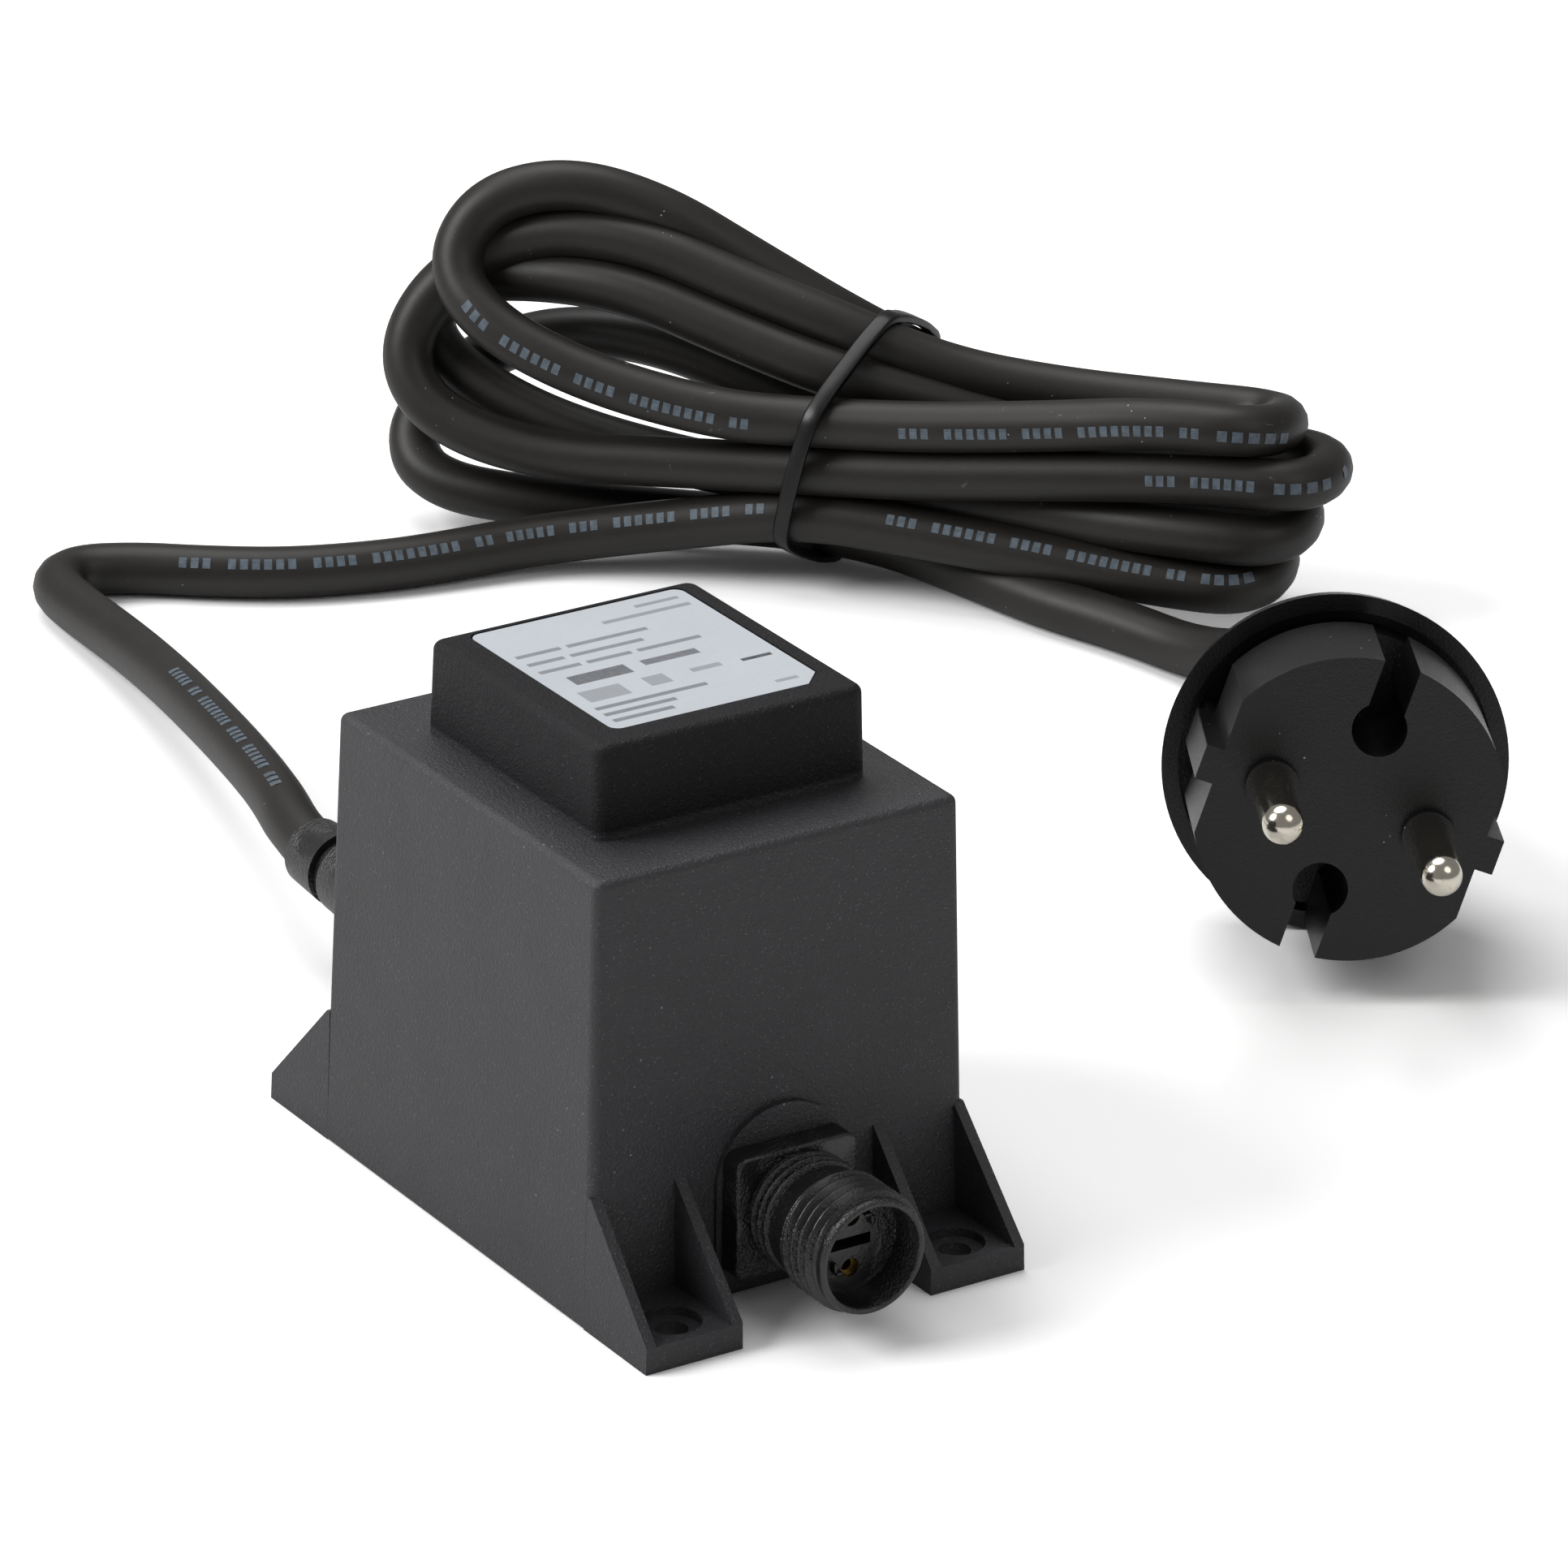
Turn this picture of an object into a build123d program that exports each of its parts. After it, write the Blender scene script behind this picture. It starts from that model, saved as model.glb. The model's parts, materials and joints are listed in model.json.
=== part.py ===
from build123d import *
import os
from math import pi, radians, tan

os.makedirs("parts", exist_ok=True)

# Potted outdoor power supply. Millimetres, +Z up, the floor at z = 0.
# X runs along the outlet face, -Y is the outlet side, +Y the mains side.
# The origin is the middle of the housing's footprint.

# Housing shell: a drafted moulding, open below, with a raised block on its roof.
# The body is measured at the floor and the block at its top.
BODY_WIDTH = 48.3
BODY_DEPTH = 56.1
BODY_TOP = 51.5
SIDE_DRAFT = 1.46
RIM_GAP = 0.15
CORNER_R = 1.1
SHOULDER_R = 1.0
WALL = 2.0
ROOF = 2.2
CAVITY_CORNER_R = 0.8
ROOF_LAP = 1.0
BLOCK_SHOULDER = 7.3
BLOCK_DEPTH = 35.0
BLOCK_RISE = 10.65
BLOCK_CORNER_R = 1.6
BLOCK_EDGE_R = 1.0

# Label and its recess in the roof of the block
LABEL_WIDTH = 26.9
LABEL_DEPTH = 29.8
LABEL_X = 0.8
LABEL_Y = 1.2
LABEL_CORNER_R = 1.3
LABEL_BEVEL = 2.4
LABEL_THICK = 0.3
RECESS_DEPTH = 0.4
RECESS_GAP = 0.15

# Four feet, each a floor plate between two sloping ribs
FOOT_REACH = 11.5
FOOT_THICK = 3.0
FOOT_WIDTH = 12.15
RIB_THICK = 1.3
RIB_TOP = 15.5
SCREW_INSET = 6.05
SCREW_REACH = 6.95
SCREW_R = 1.8
SINK_R = 3.3
SINK_DEPTH = 1.0

# Ports: the outlet in front and, a little higher, the mains entry behind
PORT_Z = 10.5
REAR_PORT_RISE = 2.1
BOSS_R = 8.3
BOSS_ARC_RISE = 2.5
BOSS_PROUD = 0.25
SPIGOT_R = 6.3
PORT_CLEAR = 0.05
PLATE_WIDTH = 15.2
PLATE_HEIGHT = 14.6
PLATE_DROP = 0.4
PLATE_PROUD = 3.2
PLATE_CORNER_R = 1.5
PLATE_EDGE_R = 0.4
PORT_CUT = 2.0
LOCK_R = 7.4
LOCK_THICK = 1.5
LOCK_DEPTH = 4.3

# Outlet sleeve, measured ahead of the housing's front face
NECK_R = 6.1
NECK_RIB_R = 6.7
NECK_RIB_WIDTH = 0.7
NECK_RIB_START = 4.05
NECK_RIB_PITCH = 1.25
NECK_RIB_COUNT = 3
NECK_RIB_SLOPE = 0.15
BAND_START = 7.5
BAND_R = 6.35
THREAD_START = 10.2
THREAD_END = 16.9
THREAD_R = 7.15
THREAD_CHAMFER = 0.5
LIP_R = 6.6
LIP_END = 18.2
MOUTH_R = 5.8
MOUTH_DEPTH = 4.5

# Outlet insert and its two sleeve contacts
INSERT_R = 5.3
INSERT_CLEAR = 0.05
CONTACT_OFFSET = 3.0
CONTACT_R = 1.1
CONTACT_BORE_R = 0.75
CONTACT_SINK = 1.0
CONTACT_BORE_DEPTH = 9.0
CONTACT_TAIL = 0.7
KEY_SLOT_WIDTH = 5.0
KEY_SLOT_HEIGHT = 1.3
KEY_SLOT_DEPTH = 2.5

# Mains strain relief: a tapered boot cut into rings
BOOT_LENGTH = 43.0
BOOT_ROOT_R = 6.5
BOOT_TIP_R = 4.1
BOOT_GROOVE_R = 3.7
BOOT_RING = 6.0
BOOT_GROOVE = 2.0
BOOT_RINGS = 5

# Transformer: an E-I stack lying flat, its coil round the middle leg.
# Its size follows from the room in the housing less these gaps.
CORE_SIDE_GAP = 0.55
CORE_END_GAP = 0.45
CORE_ROOF_GAP = 1.3
CORE_PORT_GAP = 0.4
LEGS_IN_LENGTH = 6
WINDOW_GAP = 1.4
COIL_GAP = 0.8
BOBBIN_CLEAR = 0.2
BOBBIN_WALL = 1.0
BOBBIN_END_GAP = 0.1
BOBBIN_TUBE_R = 0.5
BOBBIN_FLANGE_R = 1.0
WINDING_CORNER_R = 2.0
TAPE_THICK = 0.3
FLANGE_PROUD = 0.6

# Thermal fuse and the insulated leads inside the potting
FUSE_R = 2.0
FUSE_LENGTH = 11.0
FUSE_X = -6.0
FUSE_GAP = 0.3
LEAD_R = 0.9
LEAD_SPREAD = 1.7
LEAD_BEND_R = 1.5
LEAD_STRAIGHT = 0.33
LEAD_SIDE_RISE = 1.5
LINK_R = 0.5
LINK_RUN = 4.0
LOWER_LEAD_RUN = 5.0
LOWER_LEAD_Y = -4.0
POTTING_SINK = 1.0
SPIGOT_LAP = 1.0

# Mains cord
CORD_R = 3.3
CORD_REST_Z = 3.35
PLUG_LEAD_RUN = 11.5

# Plug, in its own frame: across the pins, upright, and out along the pins
PLUG_FACE = (95.56, 0.15, 23.12)
PLUG_OUT = (-0.5199, -0.8420, 0.1442)
PLUG_ACROSS = (0.7848, -0.5375, -0.3086)
PLUG_CORE_R = 18.0
PLUG_CORE_DEPTH = 20.5
PLUG_FLAT = 16.0
PLUG_TAB_REACH = 18.1
PLUG_TAB_HALF = 2.1
PLUG_TAB_CROWN = 0.1
PLUG_ROOT_STEP = 1.3
PLUG_ROOT_DEPTH = 4.0
KEYHOLE_R = 3.2
KEYHOLE_V = 10.0
KEYHOLE_SLOT = 4.3
KEYHOLE_DEPTH = 18.5
FLANGE_R = 20.3
FLANGE_BACK_R = 19.5
FLANGE_THICK = 4.2
RIM_WIDTH = 2.0
RIM_RECESS = 3.0
GRIP_LENGTH = 20.0
GRIP_SHOULDER_R = 14.0
GRIP_SHOULDER_RUN = 4.0
GRIP_SEAT = 1.5
GRIP_SEAT_STEP = 0.1
GRIP_WAIST = (11.5, 9.0)
GRIP_WAIST_RUN = 10.0
GRIP_END = (8.8, 7.6)
RELIEF_LENGTH = 20.0
RELIEF_ROOT_R = 5.8
RELIEF_TIP_R = 4.2
RELIEF_GROOVE_R = 3.8
RELIEF_RING = 3.4
RELIEF_GROOVE = 1.6
RELIEF_RINGS = 4
RELIEF_SEAT = 2.0

# Plug pins, the rigid bridge that holds them and what is crimped behind
PIN_R = 2.4
PIN_LENGTH = 19.0
PIN_HALF_PITCH = 9.5
PIN_TIP_R = 2.35
PIN_ROOT_R = 2.0
PIN_TAIL_R = 1.6
PIN_TAIL_LENGTH = 5.0
COLLAR_R = 3.1
COLLAR_PROUD = 1.2
BRIDGE_WIDTH = 28.0
BRIDGE_HEIGHT = 8.0
BRIDGE_CORNER_R = 2.0
BRIDGE_SINK = 2.0
BRIDGE_THICK = 5.0
CRIMP_R = 2.0
CRIMP_LENGTH = 6.0
CORE_WIRE_R = 1.2
CORE_WIRE_HALF_PITCH = 1.8
CORE_WIRE_RUN = 2.5
CORE_WIRE_END_RUN = 4.0
CORE_WIRE_BEND_R = 2.0

# Tied hank, in a frame of its own: along its length, up, and across it
HANK_CENTRE = (124.0, 145.0, 0.0)
HANK_ALONG = (0.6606, -0.7507, 0.0)
HANK_FRONT = 22.2
HANK_BACK = 6.5
HANK_OUTLINE = [
    (-54.0, 0.05), (-61.0, 14.0), (-60.0, 30.0), (-54.0, 42.0), (-42.0, 50.0), (-32.0, 49.0),
    (4.0, 36.5), (30.0, 32.0), (60.0, 32.0), (67.0, 25.0), (66.5, 9.0), (58.0, 0.05),
]
HANK_OUTLINE_R = 6.0
HANK_EDGE_R = 4.0
HANK_STUB = 18.0

# Strap that ties the hank, slanted across it
TIE_WIDTH = 1.9
TIE_THICK = 1.0
TIE_CLEAR = 0.1
TIE_GROOVE = 4.5
TIE_LEAN = (1.0, -0.34, -0.19)
TIE_POINT = (-4.0, -21.5, 10.0)
WAIST_REACH = 40.0
WAIST_STRANDS = [
    (-8.2, 4.6), (-4.4, 12.5), (1.2, 25.5), (-7.2, 29.9), (-17.2, 22.4), (-18.1, 9.7),
]

# Values that follow from the sizes above
LEAN = tan(radians(SIDE_DRAFT))
BLOCK_TOP = BODY_TOP + BLOCK_RISE
BLOCK_WIDTH = BODY_WIDTH - 2 * BLOCK_SHOULDER
BLOCK_SPREAD = 2 * BLOCK_TOP * LEAN
FRONT_Y = -BODY_DEPTH / 2
BACK_Y = BODY_DEPTH / 2
FOOT_INNER_X = BODY_WIDTH / 2 - FOOT_WIDTH
SCREW_X = BODY_WIDTH / 2 - SCREW_INSET
SCREW_Y = BACK_Y + SCREW_REACH
REAR_PORT_Z = PORT_Z + REAR_PORT_RISE
CORE_BOTTOM = REAR_PORT_Z + LOCK_R + CORE_PORT_GAP
CORE_TOP = BODY_TOP - ROOF - CORE_ROOF_GAP
CORE_STACK = CORE_TOP - CORE_BOTTOM
CORE_MID_Z = (CORE_BOTTOM + CORE_TOP) / 2
CORE_SHORT = BODY_WIDTH - 2 * (WALL + CORE_TOP * LEAN + CORE_SIDE_GAP)
CORE_LONG = BODY_DEPTH - 2 * (WALL + CORE_TOP * LEAN + CORE_END_GAP)
CORE_LEG = CORE_LONG / LEGS_IN_LENGTH
BOBBIN_HALF_X = CORE_SHORT / 2 - CORE_LEG - BOBBIN_END_GAP
BOBBIN_EDGE = BOBBIN_CLEAR + BOBBIN_WALL + FLANGE_PROUD
WINDING_BUILD = min(
    CORE_LEG - WINDOW_GAP - BOBBIN_EDGE,
    BLOCK_DEPTH / 2 - WALL - COIL_GAP - CORE_LEG - BOBBIN_EDGE,
    BLOCK_TOP - ROOF - COIL_GAP - CORE_TOP - BOBBIN_EDGE)
TUBE_HALF_Y = CORE_LEG + BOBBIN_CLEAR + BOBBIN_WALL
TUBE_HALF_Z = CORE_STACK / 2 + BOBBIN_CLEAR + BOBBIN_WALL
COIL_HALF_Y = TUBE_HALF_Y + WINDING_BUILD + TAPE_THICK
COIL_HALF_Z = TUBE_HALF_Z + WINDING_BUILD + TAPE_THICK
COIL_FLANGE_Y = TUBE_HALF_Y + WINDING_BUILD + FLANGE_PROUD
COIL_FLANGE_Z = TUBE_HALF_Z + WINDING_BUILD + FLANGE_PROUD
COIL_BOTTOM = CORE_MID_Z - COIL_HALF_Z
WINDING_LENGTH = (2 * BOBBIN_HALF_X - 3 * BOBBIN_WALL) / 2
WINDING_X = BOBBIN_WALL / 2 + WINDING_LENGTH / 2
INSERT_FACE = LIP_END - MOUTH_DEPTH
FUSE_Z = CORE_MID_Z - COIL_FLANGE_Z - FUSE_R - FUSE_GAP
POTTING_BOTTOM = RIM_GAP + POTTING_SINK
BOOT_TIP_Y = BACK_Y + BOOT_LENGTH
TIE_SPAN = 4 * WAIST_REACH
PLUG_TAIL = PLUG_CORE_DEPTH + GRIP_LENGTH + RELIEF_LENGTH
PIN_LOW = -BRIDGE_SINK - BRIDGE_THICK
CRIMP_TOP = PIN_LOW - PIN_TAIL_LENGTH

PLUG_PLANE = Plane(origin=PLUG_FACE, x_dir=PLUG_ACROSS, z_dir=PLUG_OUT)
HANK_ACROSS = (-HANK_ALONG[1], HANK_ALONG[0], 0.0)
HANK_PLANE = Plane(origin=HANK_CENTRE, x_dir=HANK_ALONG, z_dir=(HANK_ALONG[1], -HANK_ALONG[0], 0.0))
HANK_SECTION = Plane(origin=HANK_CENTRE, x_dir=HANK_ACROSS, z_dir=HANK_ALONG)

# Route of the cord, from the boot's tip to the hank and from the hank to the plug
LEAD_IN = [
    (0.0, BOOT_TIP_Y, REAR_PORT_Z),
    (0.0, 80.5, REAR_PORT_Z),
    (4.8, 94.5, 11.7),
    (9.9, 108.3, 8.9),
    (14.3, 121.8, 6.2),
    (17.2, 135.0, 4.3),
    (19.2, 147.0, 3.5),
    (20.8, 157.5, CORD_REST_Z),
    (22.3, 168.0, CORD_REST_Z),
    (25.0, 181.0, CORD_REST_Z),
    (31.5, 184.1, CORD_REST_Z),
    (38.2, 181.6, CORD_REST_Z),
    (41.0, 172.6, CORD_REST_Z),
    (49.5, 166.0, CORD_REST_Z),
    (59.0, 162.4, CORD_REST_Z),
    (68.0, 160.2, CORD_REST_Z),
]
LEAD_OUT = [
    (132.3, 97.0, CORD_REST_Z),
    (134.9, 84.5, CORD_REST_Z),
    (135.8, 72.5, 7.6),
    tuple(PLUG_PLANE.from_local_coords((0, 0, -PLUG_TAIL - PLUG_LEAD_RUN))),
    tuple(PLUG_PLANE.from_local_coords((0, 0, -PLUG_TAIL))),
]

made = {}


def add(name, shape):
    """Keep one solid piece under its node name."""
    shape.label = name
    made[name] = shape


def drafted_box(width, depth, bottom, top, lean=SIDE_DRAFT):
    """Block with leaning sides; width and depth are those at the floor."""
    shrink = 2 * bottom * tan(radians(lean))
    base = Plane.XY.offset(bottom) * Rectangle(width - shrink, depth - shrink)
    return extrude(base, amount=top - bottom, taper=lean)


def upright_edges(shape):
    """Edges that run up the corners of a drafted block."""
    return shape.edges().filter_by(lambda edge: abs(edge.tangent_at(0.5).Z) > 0.9)


def rounded_box(width, depth, bottom, top, side_r, top_r):
    """Drafted block with rounded corners and a rounded top edge."""
    block = drafted_box(width, depth, bottom, top)
    block = fillet(upright_edges(block), side_r)
    if top_r:
        block = fillet(block.edges().group_by(Axis.Z)[-1], top_r)
    return block


def solid_box(x0, x1, y0, y1, z0, z1):
    """Box between two corners."""
    size = (x1 - x0, y1 - y0, z1 - z0)
    return Pos((x0 + x1) / 2, (y0 + y1) / 2, (z0 + z1) / 2) * Box(*size)


def port_z(side):
    """Height of the port at one end."""
    return REAR_PORT_Z if side > 0 else PORT_Z


def port_round(radius, start, end, side):
    """Cylinder on the port axis between two distances ahead of the end face."""
    y0 = side * (BACK_Y + start)
    plane = Plane(origin=(0, y0, port_z(side)), z_dir=(0, side, 0))
    return extrude(plane * Circle(radius), amount=end - start)


def port_turned(outline, side):
    """Turned piece on the port axis from an outline of (radius, distance ahead)."""
    middle = (0, side * BACK_Y, port_z(side))
    plane = Plane(origin=middle, x_dir=(1, 0, 0), z_dir=(0, 0, side))
    face = make_face(plane * Polyline(*outline, close=True))
    return revolve(face, axis=Axis(middle, (0, 1, 0)))


def label_outline(width, depth, grow=0.0):
    """Label shape: a rounded rectangle with one bevelled corner."""
    sketch = Rectangle(width + 2 * grow, depth + 2 * grow)
    corners = sketch.vertices().sort_by(Axis.X)
    front_right = corners[-2:].sort_by(Axis.Y)[0]
    sketch = chamfer(front_right, LABEL_BEVEL)
    others = [v for v in sketch.vertices() if v.X < 0 or v.Y > 0]
    return fillet(others, LABEL_CORNER_R)


def foot_pair(side):
    """Two feet at one end, cut from the drafted body carried on outwards."""
    reach = BODY_DEPTH + 2 * FOOT_REACH
    block = drafted_box(BODY_WIDTH, reach, 0.0, RIB_TOP)
    tip = side * (BACK_Y + FOOT_REACH)
    heel = side * (BACK_Y - WALL / 2)
    wall_top = side * (BACK_Y - RIB_TOP * LEAN)
    gusset = make_face(Plane.YZ * Polyline(
        (heel, 0.0), (tip, 0.0), (tip, FOOT_THICK), (wall_top, RIB_TOP), (heel, RIB_TOP), close=True))
    feet = block & extrude(gusset, amount=BODY_WIDTH / 2, both=True)
    ends = sorted((side * (BACK_Y - WALL), tip + side * WALL))
    high = RIB_TOP + WALL
    feet -= solid_box(-FOOT_INNER_X, FOOT_INNER_X, *ends, -WALL, high)
    inner = FOOT_INNER_X + RIB_THICK
    outer = BODY_WIDTH / 2 - RIB_THICK
    for hand in (-1, 1):
        section = make_face(Plane.XZ * Polyline(
            (hand * inner, FOOT_THICK), (hand * outer, FOOT_THICK),
            (hand * (outer - high * LEAN), high), (hand * inner, high), close=True))
        pocket = extrude(section, amount=reach, both=True)
        feet -= pocket & solid_box(-BODY_WIDTH, BODY_WIDTH, *ends, 0.0, high)
    for hand in (-1, 1):
        hole = Pos(hand * SCREW_X, side * SCREW_Y, 0)
        feet -= hole * extrude(Circle(SCREW_R), amount=FOOT_THICK)
        feet -= hole * Pos(0, 0, FOOT_THICK - SINK_DEPTH) * extrude(Circle(SINK_R), amount=SINK_DEPTH)
    return feet


def port_boss(side):
    """Shallow arch that frames a port on the end wall."""
    arc_z = port_z(side) + BOSS_ARC_RISE
    arch = Pos(0, arc_z) * Circle(BOSS_R)
    leg_height = arc_z - RIM_GAP
    arch += Pos(0, RIM_GAP + leg_height / 2) * Rectangle(2 * BOSS_R, leg_height)
    plane = Plane(origin=(0, side * (BACK_Y + BOSS_PROUD), 0), x_dir=(1, 0, 0), z_dir=(0, -1, 0))
    depth = BOSS_PROUD + WALL
    return extrude(plane * arch, amount=depth * side)


def housing_cavity(bottom):
    """Room inside the shell, up into the block on its roof."""
    room = rounded_box(BODY_WIDTH - 2 * WALL, BODY_DEPTH - 2 * WALL, bottom, BODY_TOP - ROOF,
                       CAVITY_CORNER_R, 0)
    room += rounded_box(BLOCK_WIDTH + BLOCK_SPREAD - 2 * WALL, BLOCK_DEPTH + BLOCK_SPREAD - 2 * WALL,
                        BODY_TOP - ROOF - ROOF_LAP, BLOCK_TOP - ROOF, CAVITY_CORNER_R, 0)
    return room


def housing_shell():
    shell = rounded_box(BODY_WIDTH, BODY_DEPTH, RIM_GAP, BODY_TOP, CORNER_R, SHOULDER_R)
    shell += rounded_box(BLOCK_WIDTH + BLOCK_SPREAD, BLOCK_DEPTH + BLOCK_SPREAD, BODY_TOP - ROOF,
                         BLOCK_TOP, BLOCK_CORNER_R, BLOCK_EDGE_R)
    for side in (-1, 1):
        shell += foot_pair(side)
        shell += port_boss(side)
    shell -= housing_cavity(RIM_GAP)
    for side in (-1, 1):
        shell -= port_round(SPIGOT_R + PORT_CLEAR, -WALL - PORT_CUT, BOSS_PROUD, side)
    outline = Pos(LABEL_X, LABEL_Y, BLOCK_TOP) * label_outline(LABEL_WIDTH, LABEL_DEPTH, RECESS_GAP)
    return shell - extrude(outline, amount=-RECESS_DEPTH)


def rating_label():
    floor_z = BLOCK_TOP - RECESS_DEPTH
    outline = Pos(LABEL_X, LABEL_Y, floor_z) * label_outline(LABEL_WIDTH, LABEL_DEPTH)
    return extrude(outline, amount=LABEL_THICK)


def port_plate(side):
    """Rounded square plate that a port piece bears on the boss with."""
    y0 = side * (BACK_Y + BOSS_PROUD)
    plane = Plane(origin=(0, y0, port_z(side) - PLATE_DROP), x_dir=(1, 0, 0), z_dir=(0, side, 0))
    plate = extrude(plane * RectangleRounded(PLATE_WIDTH, PLATE_HEIGHT, PLATE_CORNER_R),
                    amount=PLATE_PROUD - BOSS_PROUD)
    rim = plate.edges().group_by(Axis.Y)[-1 if side > 0 else 0]
    return fillet(rim, PLATE_EDGE_R)


def port_root(side):
    """Plate, spigot through the wall and the lock ring held in the potting."""
    root = port_plate(side)
    root += port_round(SPIGOT_R, -LOCK_DEPTH, PLATE_PROUD / 2, side)
    root += port_round(LOCK_R, -LOCK_DEPTH, LOCK_THICK - LOCK_DEPTH, side)
    return root


def outlet_body():
    outline = [(0.0, 0.0), (NECK_R, 0.0)]
    for index in range(NECK_RIB_COUNT):
        start = NECK_RIB_START + index * NECK_RIB_PITCH
        end = start + NECK_RIB_WIDTH
        outline += [(NECK_R, start), (NECK_RIB_R, start + NECK_RIB_SLOPE),
                    (NECK_RIB_R, end - NECK_RIB_SLOPE), (NECK_R, end)]
    outline += [(NECK_R, BAND_START), (BAND_R, BAND_START), (BAND_R, THREAD_START),
                (THREAD_R, THREAD_START + THREAD_CHAMFER), (THREAD_R, THREAD_END - THREAD_CHAMFER),
                (THREAD_R - THREAD_CHAMFER / 2, THREAD_END), (LIP_R, LIP_END), (0.0, LIP_END)]
    body = port_turned(outline, -1) + port_root(-1)
    body -= port_round(MOUTH_R, INSERT_FACE, LIP_END, -1)
    return body - port_round(INSERT_R + INSERT_CLEAR, -LOCK_DEPTH, INSERT_FACE, -1)


def outlet_insert():
    insert = port_round(INSERT_R, -LOCK_DEPTH, INSERT_FACE, -1)
    for hand in (-1, 1):
        insert -= Pos(0, 0, hand * CONTACT_OFFSET) * port_round(CONTACT_R, -LOCK_DEPTH, INSERT_FACE, -1)
    face_y = FRONT_Y - INSERT_FACE
    half = KEY_SLOT_HEIGHT / 2
    return insert - solid_box(-KEY_SLOT_WIDTH / 2, KEY_SLOT_WIDTH / 2, face_y, face_y + KEY_SLOT_DEPTH,
                              PORT_Z - half, PORT_Z + half)


def outlet_contact(hand):
    top = INSERT_FACE - CONTACT_SINK
    contact = port_round(CONTACT_R, -LOCK_DEPTH - CONTACT_TAIL, top, -1)
    contact -= port_round(CONTACT_BORE_R, top - CONTACT_BORE_DEPTH, top, -1)
    return Pos(0, 0, hand * CONTACT_OFFSET) * contact


def ringed_taper(start, root_r, tip_r, groove_r, ring, groove, rings):
    """Outline of a tapered sleeve cut into rings, from its root outwards."""
    end = start + rings * (ring + groove) - groove
    slope = (tip_r - root_r) / (end - start)
    outline = []
    for index in range(rings):
        near = start + index * (ring + groove)
        far = near + ring
        outline += [(root_r + slope * (near - start), near), (root_r + slope * (far - start), far)]
        if index < rings - 1:
            outline += [(groove_r, far), (groove_r, far + groove)]
    return outline, end


def cord_strain_relief():
    length = BOOT_RINGS * (BOOT_RING + BOOT_GROOVE) - BOOT_GROOVE
    start = BOOT_LENGTH - length
    outline, end = ringed_taper(start, BOOT_ROOT_R, BOOT_TIP_R, BOOT_GROOVE_R,
                                BOOT_RING, BOOT_GROOVE, BOOT_RINGS)
    root = PLATE_PROUD / 2
    outline = [(0.0, root), (BOOT_ROOT_R, root)] + outline + [(0.0, end)]
    return port_turned(outline, 1) + port_root(1)


def core_e_stack():
    half_x = CORE_SHORT / 2
    half_y = CORE_LONG / 2
    stack = solid_box(-half_x, half_x - CORE_LEG, -half_y, half_y, CORE_BOTTOM, CORE_TOP)
    for hand in (-1, 1):
        window = sorted((hand * CORE_LEG, hand * 2 * CORE_LEG))
        stack -= solid_box(CORE_LEG - half_x, half_x - CORE_LEG, *window, CORE_BOTTOM, CORE_TOP)
    return stack


def core_i_stack():
    half_x = CORE_SHORT / 2
    half_y = CORE_LONG / 2
    return solid_box(half_x - CORE_LEG, half_x, -half_y, half_y, CORE_BOTTOM, CORE_TOP)


def coil_ring(x_mid, length, inner, outer, corner_r):
    """Rectangular ring round the middle leg between two half sizes (y, z)."""
    plane = Plane(origin=(x_mid - length / 2, 0, CORE_MID_Z), x_dir=(0, 1, 0), z_dir=(1, 0, 0))
    ring = extrude(plane * RectangleRounded(2 * outer[0], 2 * outer[1], corner_r), amount=length)
    return ring - extrude(plane * Rectangle(2 * inner[0], 2 * inner[1]), amount=length)


def winding_bobbin():
    bore = (CORE_LEG + BOBBIN_CLEAR, CORE_STACK / 2 + BOBBIN_CLEAR)
    tube = (TUBE_HALF_Y, TUBE_HALF_Z)
    flange = (COIL_FLANGE_Y, COIL_FLANGE_Z)
    bobbin = coil_ring(0, 2 * BOBBIN_HALF_X, bore, tube, BOBBIN_TUBE_R)
    end_x = BOBBIN_HALF_X - BOBBIN_WALL / 2
    for x_mid in (-end_x, 0, end_x):
        bobbin += coil_ring(x_mid, BOBBIN_WALL, bore, flange, BOBBIN_FLANGE_R)
    return bobbin


def winding(hand):
    """One of the two windings, side by side on the divided bobbin."""
    tube = (TUBE_HALF_Y, TUBE_HALF_Z)
    wound = (COIL_HALF_Y - TAPE_THICK, COIL_HALF_Z - TAPE_THICK)
    return coil_ring(hand * WINDING_X, WINDING_LENGTH, tube, wound, WINDING_CORNER_R)


def winding_tape(hand):
    """Insulating tape round one winding."""
    outer = (COIL_HALF_Y, COIL_HALF_Z)
    plane = Plane(origin=(hand * WINDING_X - WINDING_LENGTH / 2, 0, CORE_MID_Z),
                  x_dir=(0, 1, 0), z_dir=(1, 0, 0))
    wrap = RectangleRounded(2 * outer[0], 2 * outer[1], WINDING_CORNER_R + TAPE_THICK)
    wrap -= RectangleRounded(2 * (outer[0] - TAPE_THICK), 2 * (outer[1] - TAPE_THICK), WINDING_CORNER_R)
    return extrude(plane * wrap, amount=WINDING_LENGTH)


def thermal_fuse():
    plane = Plane(origin=(FUSE_X, -FUSE_LENGTH / 2, FUSE_Z), z_dir=(0, 1, 0))
    return extrude(plane * Circle(FUSE_R), amount=FUSE_LENGTH)


def lead(points, radius=LEAD_R, bend=LEAD_BEND_R):
    """Wire along straight runs joined by small arcs."""
    path = FilletPolyline(*points, radius=bend)
    section = Plane(origin=path @ 0, z_dir=path % 0) * Circle(radius)
    return sweep(section, path=path)


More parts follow.
